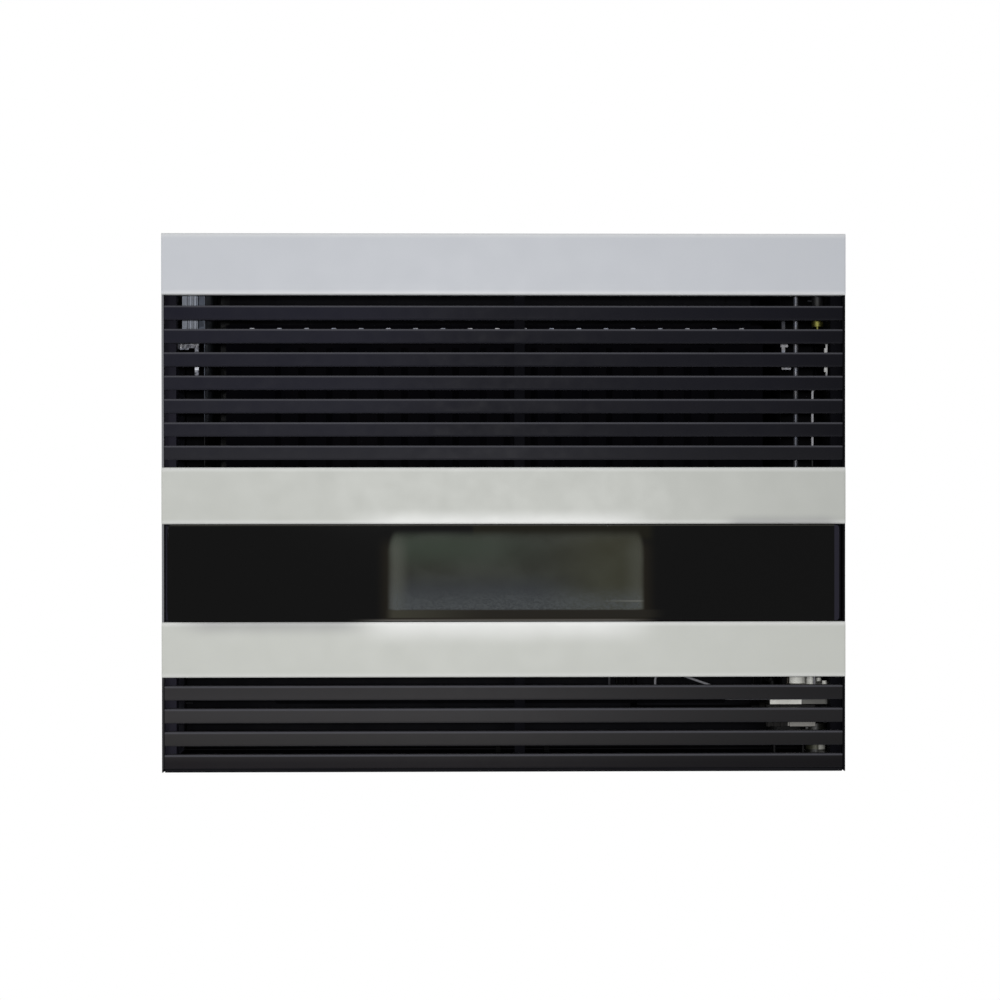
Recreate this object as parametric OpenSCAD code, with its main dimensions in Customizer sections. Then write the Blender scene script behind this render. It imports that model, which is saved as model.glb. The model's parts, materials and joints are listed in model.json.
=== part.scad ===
// Wall-mounted balanced-flue gas convector heater.
// X runs along the front from left to right, the front looks along -Y and Z is up.
// The origin is the middle of the four wall-fixing holes, on the wall plane Y = 0.

/* [Casing] */
// Overall width of the casing
case_w = 790; // [760:5:860]
// Overall height of the casing
case_h = 622; // [600:2:680]
// Depth from the wall to the front of the bands
case_d = 240; // [236:1:270]
// Thickness of the painted casing sheet
sheet = 1.2; // [0.8:0.1:1.5]
// Outside radius of the folds in the casing sheet
fold_r = 2.2; // [1.8:0.1:4]
// Width of the flanges folded round the back plate
back_flange = 18; // [12:1:22]
// Width of the flanges folded along the side panels
side_flange = 7.5; // [6:0.5:8]
// Distance from the sides of the casing to the wall-fixing holes
fixing_from_side = 25; // [22:0.5:60]
// Distance from the top and bottom of the casing to the wall-fixing holes
fixing_from_end = 44; // [36:1:120]
// Diameter of the wall-fixing holes
fixing_hole_d = 9; // [7:0.5:11]

/* [Front] */
// Height of the light band along the top
top_band_h = 71; // [60:1:80]
// Height of the light band above the glass
middle_band_h = 65.5; // [58:0.5:72]
// Height of the light band below the glass
lower_band_h = 64; // [58:0.5:72]
// Height of the strip that the glass fills
glass_strip_h = 113; // [106:1:122]
// Height of the lower grille opening
lower_grille_h = 109.5; // [98:0.5:120]
// Depth of the bands and slats, from the front to the rear edge
front_d = 16; // [14:0.5:19]
// Distance that the slats are set back behind the bands
slat_inset = 3; // [2:0.25:4]
// Height of one slat
slat_h = 16.5; // [14:0.5:17]
// Sheet thickness of a slat
slat_t = 1; // [0.7:0.1:1.3]
// Outside radius of the folds along a slat
slat_fold_r = 2.2; // [1.5:0.1:3]
// Distance that the upper slats sit below an even spacing
slat_drop = 1.8; // [0:0.1:3]
// Width of the black uprights behind the ends of the slats
upright_w = 14; // [10:1:18]
// Depth of the black uprights
upright_d = 22; // [16:1:24]
// Width of the braces behind the middle of the slats
brace_w = 12; // [8:1:16]
// Thickness of the front glass
glass_t = 4; // [3:0.5:5]
// Gap round the front glass
glass_gap = 1; // [0.6:0.1:1.5]
// Height of the lip at the front of the base tray
tray_lip_h = 3.6; // [3:0.2:5]

/* [Combustion chamber] */
// Height of the bottom of the chamber above the bottom of the casing
chamber_lift = 150; // [140:1:156]
// Distance from the top of the casing down to the top of the chamber
chamber_drop = 118; // [105:1:130]
// Depth of the chamber
chamber_d = 140; // [132:1:144]
// Space between the wall and the back of the chamber
chamber_off_wall = 50; // [44:1:54]
// Space between the chamber and the right heat shield
chamber_air = 35; // [30:1:40]
// Thickness of the chamber steel
chamber_t = 1.5; // [1:0.1:2]
// Width of the screwed flange round the chamber mouth
chamber_flange = 15; // [12:1:18]
// Sideways distance of the flame window from the middle of the casing
window_x = 18; // [0:1:30]
// Width of the flame window opening
window_w = 300; // [260:5:320]
// Height of the flame window opening
window_h = 95; // [80:1:98]
// Thickness of the ceramic window glass
window_t = 4; // [3:0.5:5]
// Thickness of the window gasket
gasket_t = 3; // [2:0.5:4]
// Length of the burner bar
burner_l = 370; // [350:5:390]
// Front-to-back width of the burner bar
burner_w = 34; // [28:1:38]
// Height of the burner bar
burner_h = 24; // [20:1:26]
// Thickness of the burner bar's wall
burner_t = 1; // [0.8:0.1:1.4]

/* [Flue and air] */
// Distance from the top of the chamber down to the flue axis
flue_drop = 74; // [64:1:100]
// Outside diameter of the exhaust spigot
flue_d = 70; // [60:1:80]
// Outside diameter of the air intake spigot
air_d = 110; // [104:1:120]
// Length of the air spigot behind the wall plane
spigot_l = 45; // [30:1:60]
// Wall thickness of both spigots
spigot_t = 1; // [0.8:0.1:1.5]
// Width of the rear air duct
duct_w = 150; // [146:1:170]
// Height of the air box under the chamber
air_box_h = 32; // [28:1:36]

/* [Controls] */
// Distance of the control spindle from the right side panel
spindle_from_side = 44.8; // [44.5:0.5:48]
// Distance of the controls from the wall
control_off_wall = 155; // [150:1:160]
// Diameter of the control spindle
spindle_d = 6; // [5:0.5:7]
// Diameter of the control knob
knob_d = 34; // [30:1:35]
// Height of the control knob
knob_h = 22; // [18:1:24]
// Travel of the control knob when it is pushed
knob_travel = 5; // [3:0.5:6]
// Distance between the knob and the igniter button
button_spacing = 26; // [26:0.5:27]
// Diameter of the igniter button
button_d = 10; // [8:0.5:11]
// Height of the igniter button above its ring
button_rise = 9; // [8:0.5:11]
// Travel of the igniter button
button_travel = 6; // [4:0.5:7]
// Depth of the well that holds the controls
well_depth = 32; // [30:1:36]
// Width of the gas valve
valve_w = 76; // [72:1:78]
// Depth of the gas valve, front to back
valve_d = 60; // [52:1:64]
// Height of the top of the valve body above the bottom of the casing
valve_top = 96; // [92:1:98]

/* [Hidden] */
$fn = 48;
// Working clearances
fit = 0.3;          // between pieces that are fitted together
running = 0.15;     // round a turning or sliding stem
contact_pad_t = 2;  // foam between the glass and its carrier

// Levels of the front, from the bottom up
base_z = -case_h / 2;
top_z = case_h / 2;
lower_grille_top = base_z + lower_grille_h;
lower_band_top = lower_grille_top + lower_band_h;
glass_strip_top = lower_band_top + glass_strip_h;
middle_band_top = glass_strip_top + middle_band_h;
upper_grille_top = top_z - top_band_h;
window_z = (lower_band_top + glass_strip_top) / 2;

// Depths of the front
front_y = -case_d;
slat_y = front_y + slat_inset;
frame_y = front_y + front_d;          // rear edges of bands and slats meet the uprights here
glass_y = front_y + 1.5;              // front of the glass
pad_y = glass_y + glass_t;
carrier_y = pad_y + contact_pad_t;

// Widths of the front
inner_w = case_w - 2 * sheet;
fixing_w = case_w - 2 * fixing_from_side;
fixing_h = case_h - 2 * fixing_from_end;
hem_w = 2 * sheet;
slat_l = case_w - 2 * hem_w - 1;
glass_w = case_w - 14;
carrier_w = slat_l - 2;
lip_notch = hem_w + fit;

// Grilles
UPPER_SLATS = 7;
LOWER_SLATS = 4;
upper_opening = upper_grille_top - middle_band_top;
upper_gap = (upper_opening - UPPER_SLATS * slat_h) / (UPPER_SLATS + 1);
lower_gap = (lower_grille_h - tray_lip_h - LOWER_SLATS * slat_h) / LOWER_SLATS;
function upper_slat_z(i) = upper_grille_top - upper_gap - slat_drop - slat_h - (i - 1) * (slat_h + upper_gap);
function lower_slat_z(i) = lower_grille_top - lower_gap - slat_h - (i - 1) * (slat_h + lower_gap);

// Controls
spindle_x = inner_w / 2 - spindle_from_side;
button_x = spindle_x + button_spacing;
control_y = -control_off_wall;
well_floor_z = top_z - well_depth;
well_wall = 2;
well_rim = 4;
well_left = spindle_x - knob_d / 2 - 9;
well_right = button_x + 10.5;
well_front_back = knob_d + 20;
knob_z = well_floor_z + knob_travel + 1;

// Heat shields stand on both sides of the chamber
shield_t = 0.8;
shield_right_x = spindle_x - spindle_d / 2 - 21;
shield_left_x = -inner_w / 2 + 44.2;
shield_flange_w = 26.4;
shield_bottom = base_z + chamber_lift - 4;
shield_top = well_floor_z - well_wall - 6;

// Chamber
chamber_left = shield_left_x + chamber_air + 4.6;    // a little more air beside the left shield
chamber_right = shield_right_x - chamber_air;
chamber_x = (chamber_left + chamber_right) / 2;
chamber_w = chamber_right - chamber_left;
chamber_back = -chamber_off_wall;
chamber_mouth = chamber_back - chamber_d;
chamber_bottom = base_z + chamber_lift;
chamber_top = top_z - chamber_drop;
chamber_h = chamber_top - chamber_bottom;
chamber_face = chamber_mouth - chamber_t;    // front of the screwed chamber front
chamber_z = (chamber_bottom + chamber_top) / 2;
flue_z = chamber_top - flue_drop;

// Window
window_lap = 9;
window_skirt = 1.5;
window_glass_y = chamber_face - gasket_t;
window_front_y = window_glass_y - window_t;

// Chamber screws
screw_head_d = 8;
screw_head_h = 3;
screw_d = 4.8;
FLANGE_SCREWS = 19;      // along the top and the bottom
flange_pitch = 31.9;
SIDE_SCREWS = 6;
side_screw_start = 32.5;
side_screw_pitch = 54.4;

// Burner and its air
burner_y = chamber_back - chamber_d / 2;
burner_top = window_z - window_h / 2 + 9;
burner_z = burner_top - burner_h;
floor_slot_w = burner_l - 40;
floor_slot_front = burner_y - burner_w / 2 - 24;
floor_slot_back = burner_y + burner_w / 2 + 12;
mixer_x = window_x + burner_l / 2 - 45;
mixer_d = 22;
pilot_x = window_x + window_w / 2 - 32;
pilot_y = burner_y - burner_w / 2 - 11;
pilot_d = 7;
pilot_drop = 8;
probe_gap = 9;
probe_d = 3.5;
electrode_d = 6;
electrode_drop = 12;
pin_d = 2;
pin_drop = 4;
injector_drop = 10;
PORTS = 44;

// Air duct
ring_t = 1.5;
sleeve_room = 8;    // round the air spigot, for the outer pipe of the wall terminal
air_box_bottom = chamber_bottom - air_box_h;
air_box_w = burner_l - 10;
air_box_front = floor_slot_front - 10;
duct_back = -sheet - ring_t;
duct_top = flue_z + duct_w / 2;

// Gas valve and its fittings
valve_x = spindle_x;
valve_z = base_z + valve_top;
valve_low_x = valve_x - 11;
valve_shoulder = valve_z - 23;
valve_foot = base_z + 34;
valve_low_w = 44;
valve_low_d = 36;
boss_d = 24;
boss_h = 8;
rotor_d = 14;
rotor_top = valve_z + boss_h + 5;
rotor_depth = 24;
outlet_l = 6;
sensor_port_h = 9;
sensor_port = [valve_x + 16, control_y - 17, valve_z + sensor_port_h];
pilot_port_h = 5;
pilot_port = [valve_x - 28, control_y + 12, valve_z + pilot_port_h];
manifold_z = lower_slat_z(2) + slat_h / 2;
pipe_r = 4;
inlet_x = inner_w / 2 - 21;
inlet_r = 9.3;
inlet_bore_l = 15;
inlet_mouth = base_z + 6;

// ---------------------------------------------------------------- helpers

function arc(c, r, a0, a1, n = 5) =
    [for (i = [0:n]) c + r * [cos(a0 + (a1 - a0) * i / n), sin(a0 + (a1 - a0) * i / n)]];

// Outline of a folded C section: x is the depth behind its face, y its height
function channel_points(d, h, t, r) = concat(
    [[d, 0]], arc([r, r], r, 270, 180), arc([r, h - r], r, 180, 90),
    [[d, h], [d, h - t]], arc([r, h - r], r - t, 90, 180), arc([r, r], r - t, 180, 270),
    [[d, t]]
);

function unit(v) = v / norm(v);

// Runs an outline of depth and height along X, centred on X = 0
module run_x(length) {
    translate([-length / 2, 0, 0]) rotate([90, 0, 90]) linear_extrude(length) children();
}

// A folded C section along X, its face at Y = 0 and its lower edge at Z = 0
module channel_x(length, d, h, t, r) {
    run_x(length) polygon(channel_points(d, h, t, r));
}

// A flat outline of x and z between two depths
module slab_y(y0, y1) {
    translate([0, y1, 0]) rotate([90, 0, 0]) linear_extrude(y1 - y0) children();
}

module rect(w, h) {
    square([w, h], center = true);
}

module round_rect(w, h, r) {
    polygon(concat(
        arc([w / 2 - r, h / 2 - r], r, 0, 90), arc([r - w / 2, h / 2 - r], r, 90, 180),
        arc([r - w / 2, r - h / 2], r, 180, 270), arc([w / 2 - r, r - h / 2], r, 270, 360)
    ));
}

// A slot with round ends that runs along y
module slot_2d(w, l) {
    square([w, l - w], center = true);
    for (s = [-1, 1]) translate([0, s * (l - w) / 2]) circle(d = w, $fn = 24);
}

module cyl_y(d, y0, y1) {
    translate([0, y1, 0]) rotate([90, 0, 0]) cylinder(d = d, h = y1 - y0);
}

module framed(e1, e2, e3, o) {
    multmatrix([
        [e1[0], e2[0], e3[0], o[0]],
        [e1[1], e2[1], e3[1], o[1]],
        [e1[2], e2[2], e3[2], o[2]],
        [0, 0, 0, 1]
    ]) children();
}

module rod(a, b, r) {
    u = unit(b - a);
    side = unit(cross(abs(u[2]) < 0.9 ? [0, 0, 1] : [1, 0, 0], u));
    framed(side, cross(u, side), u, a) cylinder(r = r, h = norm(b - a));
}

module bend(before, corner, after, r, bend_r) {
    u = unit(corner - before);
    v = unit(after - corner);
    turn = acos(u * v);
    start = corner - u * bend_r * tan(turn / 2);
    middle = corner + unit(v - u) * bend_r / cos(turn / 2);
    e1 = unit(start - middle);
    framed(e1, u, cross(e1, u), middle)
        rotate_extrude(angle = turn) translate([bend_r, 0]) circle(r = r);
}

// A round pipe along a list of points, with a bend of one radius at each corner
module bent_pipe(p, r, bend_r) {
    last = len(p) - 1;
    function turn(i) = acos(unit(p[i] - p[i - 1]) * unit(p[i + 1] - p[i]));
    function trim(i) = i == 0 || i == last ? 0 : bend_r * tan(turn(i) / 2);
    for (i = [0:last - 1]) {
        u = unit(p[i + 1] - p[i]);
        rod(p[i] + u * trim(i), p[i + 1] - u * trim(i + 1), r);
    }
    for (i = [1:last - 1]) bend(p[i - 1], p[i], p[i + 1], r, bend_r);
}

// The points of a route whose corners are rounded to one radius
function corner_arc(before, corner, after, r, n) =
    let (
        u = unit(corner - before), v = unit(after - corner), turn = acos(u * v),
        middle = corner + unit(v - u) * r / cos(turn / 2),
        e1 = unit(corner - u * r * tan(turn / 2) - middle)
    ) [for (k = [0:n]) middle + r * (cos(turn * k / n) * e1 + sin(turn * k / n) * u)];
function rounded(p, r, n = 3) = [
    p[0],
    for (i = [1:len(p) - 2]) each corner_arc(p[i - 1], p[i], p[i + 1], r, n),
    p[len(p) - 1]
];

// Directions along a route, and a normal carried along it without twist
function directions(p) = let (last = len(p) - 1) [
    for (i = [0:last]) i == 0 ? unit(p[1] - p[0]) : i == last ? unit(p[i] - p[i - 1])
        : unit(unit(p[i] - p[i - 1]) + unit(p[i + 1] - p[i]))
];
function carried(t, normal, i = 0) = i == len(t) ? []
    : let (m = unit(normal - (normal * t[i]) * t[i])) concat([m], carried(t, m, i + 1));

// A thin tube or wire swept along a route
module wire(p, r, bend_r = 5, sides = 8) {
    q = rounded(p, bend_r);
    t = directions(q);
    m = carried(t, abs(t[0][0]) < 0.8 ? [1, 0, 0] : [0, 1, 0]);
    last = len(q) - 1;
    points = [for (i = [0:last], k = [0:sides - 1])
        q[i] + r * (cos(k * 360 / sides) * m[i] + sin(k * 360 / sides) * cross(t[i], m[i]))];
    polyhedron(points, concat(
        [[for (k = [0:sides - 1]) k]],
        [for (i = [0:last - 1], k = [0:sides - 1]) let (a = i * sides, b = a + sides, n = (k + 1) % sides)
            each [[a + k, b + k, b + n], [a + k, b + n, a + n]]],
        [[for (k = [sides - 1:-1:0]) last * sides + k]]
    ));
}

module hexagon(across_flats, h) {
    cylinder(d = across_flats / cos(30), h = h, $fn = 6);
}

// ---------------------------------------------------------------- casing

back_h = case_h - 3 * sheet;
back_z = base_z + 2 * sheet + back_h / 2;

rib_l = inner_w - 2 * (fixing_from_side + 88);
rib_proud = 5;
rib_w = 24;
rib_levels = [base_z + 70, top_z - 62];

// Outline of a pressed stiffening rib: depth in front of the plate, height
function rib_points(proud, w, back) = [
    [back, -w / 2], [0, -w / 2], [-proud, -w / 2 + proud],
    [-proud, w / 2 - proud], [0, w / 2], [back, w / 2]
];

module rib_on_back(z) {
    translate([0, -sheet, z]) run_x(rib_l) polygon(rib_points(rib_proud, rib_w, sheet / 2));
}

module rib_hollow(z) {
    translate([0, 0, z]) run_x(rib_l - 2 * rib_proud) polygon(rib_points(rib_proud, rib_w - sheet, 1));
}

module back_plate() {
    color("gainsboro") difference() {
        union() {
            difference() {
                translate([0, -back_flange / 2, back_z])
                    cube([inner_w, back_flange, back_h], center = true);
                translate([0, -back_flange / 2 - sheet, back_z])
                    cube([inner_w - 2 * sheet, back_flange, back_h - 2 * sheet], center = true);
            }
            for (z = rib_levels) rib_on_back(z);
        }
        for (z = rib_levels) rib_hollow(z);
        for (x = [-1, 1], z = [-1, 1]) translate([x * fixing_w / 2, 0, z * fixing_h / 2])
            cyl_y(fixing_hole_d, -back_flange - 1, 1);
        translate([0, 0, flue_z]) cyl_y(air_d + 2 * sleeve_room, -back_flange - 1, 1);
        casing_screw_places() countersink(fit);
    }
}

// Countersunk screws pass through the side panels into the flanges of the back plate
module casing_screw_places() {
    for (s = [-1, 1], z = [-1, 0, 1])
        translate([s * case_w / 2, -back_flange / 2, z * (case_h / 2 - 60)])
            rotate([0, -s * 90, 0]) children();
}

module countersink(gap) {
    translate([0, 0, gap == 0 ? 0 : -0.01])
        cylinder(d1 = 7.4 + 2 * gap, d2 = 3 + 2 * gap, h = 2 * sheet);
    cylinder(d = 3 + 2 * gap, h = 2 * sheet + 8);
}

module base_tray() {
    slot_pitch = 40;
    slots = floor((inner_w - 140) / slot_pitch);
    color([0.12, 0.12, 0.13]) difference() {
        union() {
            translate([-inner_w / 2, slat_y, base_z + sheet]) cube([inner_w, -slat_y, sheet]);
            translate([-inner_w / 2 + hem_w, slat_y, base_z]) cube([inner_w - 2 * hem_w, sheet, tray_lip_h]);
        }
        for (i = [0:slots - 1], y = [-70, -165])
            translate([(i - (slots - 1) / 2) * slot_pitch, y, base_z])
                linear_extrude(3 * sheet) rotate(90) slot_2d(8, 30);
        translate([inlet_x, control_y, base_z]) cylinder(d = 34, h = 3 * sheet);
    }
}

// The right-hand panel; the left one is its mirror image
module side_panel() {
    front = front_y + fold_r + fit;
    hem_d = frame_y - front - fit;
    top_flange_d = -frame_y - upright_d - back_flange - fit;
    hem_bottom = base_z + tray_lip_h;
    color([0.12, 0.12, 0.13]) difference() {
        union() {
            translate([case_w / 2 - sheet, front, base_z]) cube([sheet, -front, case_h - sheet]);
            translate([case_w / 2 - hem_w, front, hem_bottom])
                cube([1.5 * sheet, hem_d, top_z - sheet - hem_bottom]);
            translate([inner_w / 2 - side_flange, frame_y, base_z])
                cube([side_flange + sheet / 2, -frame_y, sheet]);
            translate([inner_w / 2 - side_flange, frame_y + upright_d, top_z - 2 * sheet])
                cube([side_flange + sheet / 2, top_flange_d, sheet]);
        }
        casing_screw_places() countersink(fit);
    }
}

module top_panel() {
    slot_pitch = 15;
    slots_right = well_left - 26;
    slots_left = -inner_w / 2 + 40;
    count = floor((slots_right - slots_left) / slot_pitch);
    lip = 12;
    lip_w = inner_w - 2 * (upright_w + fit);
    color([0.12, 0.12, 0.13]) difference() {
        union() {
            translate([-case_w / 2, frame_y, top_z - sheet]) cube([case_w, -frame_y, sheet]);
            translate([-lip_w / 2, frame_y, top_z - lip]) cube([lip_w, sheet, lip]);
        }
        for (i = [0:count - 1], y = [-62, -140])
            translate([slots_left + i * slot_pitch, y, top_z - 2 * sheet])
                linear_extrude(3 * sheet) slot_2d(6, 58);
        translate([(well_left + well_right) / 2, control_y, top_z - 2 * sheet])
            linear_extrude(3 * sheet) round_rect(well_right - well_left + fit, well_front_back + fit, 6);
    }
}

module control_well() {
    middle = (well_left + well_right) / 2;
    w = well_right - well_left;
    rim_t = 1;
    color([0.09, 0.09, 0.1]) difference() {
        union() {
            translate([middle, control_y, well_floor_z - well_wall])
                linear_extrude(well_depth + well_wall + rim_t) round_rect(w, well_front_back, 6);
            translate([middle, control_y, top_z])
                linear_extrude(rim_t) round_rect(w + 2 * well_rim, well_front_back + 2 * well_rim, 8);
        }
        translate([middle, control_y, well_floor_z])
            linear_extrude(well_depth + 2) round_rect(w - 2 * well_wall, well_front_back - 2 * well_wall, 4);
        translate([spindle_x, control_y, well_floor_z - 3]) cylinder(d = spindle_d + 4, h = 6);
        translate([button_x, control_y, well_floor_z - 3]) cylinder(d = button_d + 4 + 2 * fit, h = 6);
    }
}

// ---------------------------------------------------------------- front

// A light band: its face is full width and its lips are cut back to pass between the side panels
module band(z, h, lid = 0) {
    color([0.78, 0.79, 0.78]) difference() {
        translate([0, front_y, z]) channel_x(case_w, front_d, h, sheet, fold_r);
        for (s = [-1, 1])
            translate([s * (case_w - lip_notch) / 2, front_y + fold_r + front_d / 2, z + h / 2 - lid])
                cube([lip_notch + 0.01, front_d + 0.01, h], center = true);
    }
}

module slat(z) {
    color([0.13, 0.13, 0.15]) translate([0, slat_y, z])
        channel_x(slat_l, frame_y - slat_y, slat_h, slat_t, slat_fold_r);
}

// The right-hand upright; the left one is its mirror image
module upright() {
    w = upright_w;
    bottom = base_z + 2 * sheet;
    h = top_z - sheet - bottom;
    color([0.1, 0.1, 0.11]) difference() {
        translate([inner_w / 2 - w, frame_y, bottom]) cube([w, upright_d, h]);
        translate([inner_w / 2 - w + sheet, frame_y + sheet, bottom - 1])
            cube([w - 2 * sheet, upright_d, h + 2]);
    }
}

module centre_braces() {
    reach = 8;
    lap = sheet + 3;
    spans = [
        [middle_band_top - lap, upper_grille_top + lap],
        [base_z + 2 * sheet, lower_grille_top + lap]
    ];
    color([0.1, 0.1, 0.11]) for (s = spans) translate([window_x, frame_y, s[0]])
        linear_extrude(s[1] - s[0]) difference() {
            translate([-brace_w / 2, 0]) square([brace_w, reach]);
            translate([-brace_w / 2 + sheet, sheet]) square([brace_w - 2 * sheet, reach]);
        }
}

module glass_carrier() {
    h = glass_strip_h - 2 * glass_gap;
    color([0.08, 0.08, 0.08]) difference() {
        translate([0, carrier_y, lower_band_top + glass_gap])
            channel_x(carrier_w, frame_y - carrier_y, h, sheet, sheet + 1);
        translate([window_x, 0, window_z]) slab_y(carrier_y - 1, carrier_y + sheet + 1)
            round_rect(window_w + 4, window_h + 2, 4);
    }
}

module glass_pads() {
    pad_h = 5;
    side_w = 20;
    h = glass_strip_h - 2 * glass_gap;
    color([0.05, 0.05, 0.05]) translate([0, 0, window_z]) slab_y(pad_y, carrier_y) {
        for (s = [-1, 1]) {
            translate([0, s * (h / 2 - pad_h / 2 - 1.5)]) rect(carrier_w - 30, pad_h);
            translate([s * (carrier_w / 2 - side_w / 2 - 2), 0]) rect(side_w, h - 4 * pad_h);
        }
    }
}

module front_glass() {
    color([0.05, 0.05, 0.05, 0.9]) translate([0, 0, window_z])
        slab_y(glass_y, pad_y) round_rect(glass_w, glass_strip_h - 2 * glass_gap, 4);
}

// ---------------------------------------------------------------- heat shields

shield_y = chamber_mouth - 4;
shield_rear_flange = 12;

// The left shield ends in a ribbed flange beside the top of the chamber
module left_heat_shield() {
    h = shield_top - shield_bottom;
    ribs = 3;
    rib_d = 3;
    rib_pitch = 5.5;
    first_rib = 8.4;
    rib_bottom = top_z - 112;
    flange_bottom = top_z - 121;
    color([0.7, 0.71, 0.73]) {
        translate([shield_left_x - shield_t, shield_y, shield_bottom])
            cube([shield_t, -sheet - shield_y, h]);
        translate([shield_left_x - shield_flange_w, shield_y, flange_bottom])
            cube([shield_flange_w, shield_t, shield_top - flange_bottom]);
        translate([shield_left_x - shield_t, -sheet - shield_t, shield_bottom])
            cube([shield_rear_flange, shield_t, h]);
        for (i = [0:ribs - 1])
            translate([shield_left_x - first_rib - i * rib_pitch, shield_y, rib_bottom])
                cylinder(d = rib_d, h = shield_top - rib_d - rib_bottom, $fn = 24);
    }
}

module right_heat_shield() {
    h = shield_top - shield_bottom;
    flange_x = shield_right_x + shield_t - shield_rear_flange;
    color([0.1, 0.1, 0.1]) {
        translate([shield_right_x, shield_y, shield_bottom]) cube([shield_t, -sheet - shield_y, h]);
        translate([flange_x, -sheet - shield_t, shield_bottom]) cube([shield_rear_flange, shield_t, h]);
    }
}

// A zinc-plated strap that ties the left shield to the left upright, with a leg that hangs down
module shield_bracket() {
    upright_back = frame_y + upright_d;
    t = 1.6;
    lap = 10;
    z = top_z - 132;
    strap_h = 19;
    leg_w = 4.5;
    leg_bottom = top_z - 162;
    notch_w = 7;
    notch_h = 2;
    left = -inner_w / 2 + upright_w;
    right = shield_left_x - 7;
    color([0.75, 0.76, 0.78]) difference() {
        union() {
            translate([left, shield_y - t, z]) cube([right - left, t, strap_h]);
            translate([left, upright_back - lap, z]) cube([t, shield_y - upright_back + lap, strap_h]);
            translate([right - leg_w, shield_y - t, leg_bottom]) cube([leg_w, t, z + 1 - leg_bottom]);
        }
        translate([right - leg_w - notch_w, shield_y - t - 1, z - 1]) cube([notch_w, t + 2, notch_h + 1]);
    }
}

// ---------------------------------------------------------------- combustion chamber

module chamber_shell() {
    color([0.1, 0.1, 0.1]) difference() {
        translate([chamber_x, chamber_back - chamber_d / 2, chamber_z])
            cube([chamber_w, chamber_d, chamber_h], center = true);
        translate([chamber_x, chamber_back - chamber_d / 2 - chamber_t, chamber_z])
            cube([chamber_w - 2 * chamber_t, chamber_d, chamber_h - 2 * chamber_t], center = true);
        translate([window_x - floor_slot_w / 2, floor_slot_front, chamber_bottom - 1])
            cube([floor_slot_w, floor_slot_back - floor_slot_front, chamber_t + 2]);
        translate([0, 0, flue_z]) cyl_y(flue_d + 2 * fit, chamber_back - 2 * chamber_t, chamber_back + 1);
    }
}

// A frame welded round the mouth of the chamber takes the screws of the chamber front
module chamber_flange() {
    w = chamber_w + 2 * chamber_flange;
    h = chamber_h + 2 * chamber_flange;
    color([0.1, 0.1, 0.1]) difference() {
        translate([chamber_x, 0, chamber_z]) slab_y(chamber_mouth, chamber_mouth + chamber_t) difference() {
            rect(w, h);
            rect(chamber_w, chamber_h);
        }
        chamber_screw_places() cyl_y(screw_d + 2 * fit, chamber_mouth - 1, chamber_mouth + chamber_t + 1);
    }
}

module chamber_screw_places() {
    w = chamber_w + chamber_flange;
    h = chamber_h + chamber_flange;
    for (i = [0:FLANGE_SCREWS - 1], s = [-1, 1])
        translate([chamber_x + 2.7 + (i - (FLANGE_SCREWS - 1) / 2) * flange_pitch, 0, chamber_z + s * h / 2])
            children();
    for (i = [0:SIDE_SCREWS - 1], s = [-1, 1])
        translate([chamber_x + s * w / 2, 0, chamber_z + h / 2 - side_screw_start - i * side_screw_pitch])
            children();
}

window_frame_w = window_w + 2 * window_lap + 2 + 2 * window_skirt;
window_frame_h = window_h + 2 * window_lap + 2 + 2 * window_skirt;
window_ear = 10;

module window_screw_places() {
    w = window_frame_w / 2 - 20;
    h = (window_frame_h + window_ear) / 2;
    for (x = [-1, 0, 1], z = [-1, 1])
        translate([window_x + x * w, 0, window_z + z * h]) children();
}

// The screwed chamber front has hollow ribs pressed into it above the window
module chamber_front() {
    ribs = 9;
    bottom = window_z + window_frame_h / 2 + window_ear + 10;
    top = chamber_top - 12;
    pitch = (chamber_w - 60) / ribs;
    places = [for (i = [0:ribs - 1]) chamber_x + (i - (ribs - 1) / 2) * pitch];
    color([0.1, 0.1, 0.1]) difference() {
        union() {
            translate([chamber_x, 0, chamber_z]) slab_y(chamber_face, chamber_mouth)
                round_rect(chamber_w + 2 * chamber_flange, chamber_h + 2 * chamber_flange, 4);
            for (x = places) translate([x, chamber_face, bottom]) linear_extrude(top - bottom) pressed_rib(0);
        }
        for (x = places) translate([x, chamber_face, bottom + chamber_t])
            linear_extrude(top - bottom - 2 * chamber_t) pressed_rib(chamber_t);
        translate([window_x, 0, window_z]) slab_y(chamber_face - 1, chamber_mouth + 1)
            round_rect(window_w, window_h, 6);
        chamber_screw_places() cyl_y(screw_d + 2 * fit, chamber_face - 1, chamber_mouth + 1);
        window_screw_places() cyl_y(screw_d + 2 * fit, chamber_face - 1, chamber_mouth + 1);
    }
}

// Section of a pressed rib that stands in front of its plate; inset gives the hollow behind it
module pressed_rib(inset) {
    rib_d = 10;
    base_w = 36;
    crown_w = 20;
    w0 = base_w / 2 - inset;
    w1 = crown_w / 2 - inset / 2;
    back = inset > 0 ? chamber_t + 1 : chamber_t / 2;
    polygon([[-w0, back], [-w0, 0], [-w1, inset - rib_d], [w1, inset - rib_d], [w0, 0], [w0, back]]);
}

// A folded plate hangs across the top of the chamber and turns the hot gases down before they leave
module flue_baffle() {
    w = chamber_w - 2 * chamber_t - 2 * fit;
    y = chamber_back - chamber_d * 0.45;
    color([0.35, 0.33, 0.31]) {
        translate([chamber_x - w / 2, y, chamber_z + 10])
            cube([w, 1.5, chamber_top - chamber_t - chamber_z - 10]);
        translate([chamber_x - w / 2, y, chamber_z + 10]) cube([w, 30, 1.5]);
    }
}

module hex_screw(head_y, tip_y) {
    translate([0, head_y, 0]) rotate([90, 0, 0]) hexagon(screw_head_d, screw_head_h);
    cyl_y(screw_d, head_y - screw_head_h / 2, tip_y);
}

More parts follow.
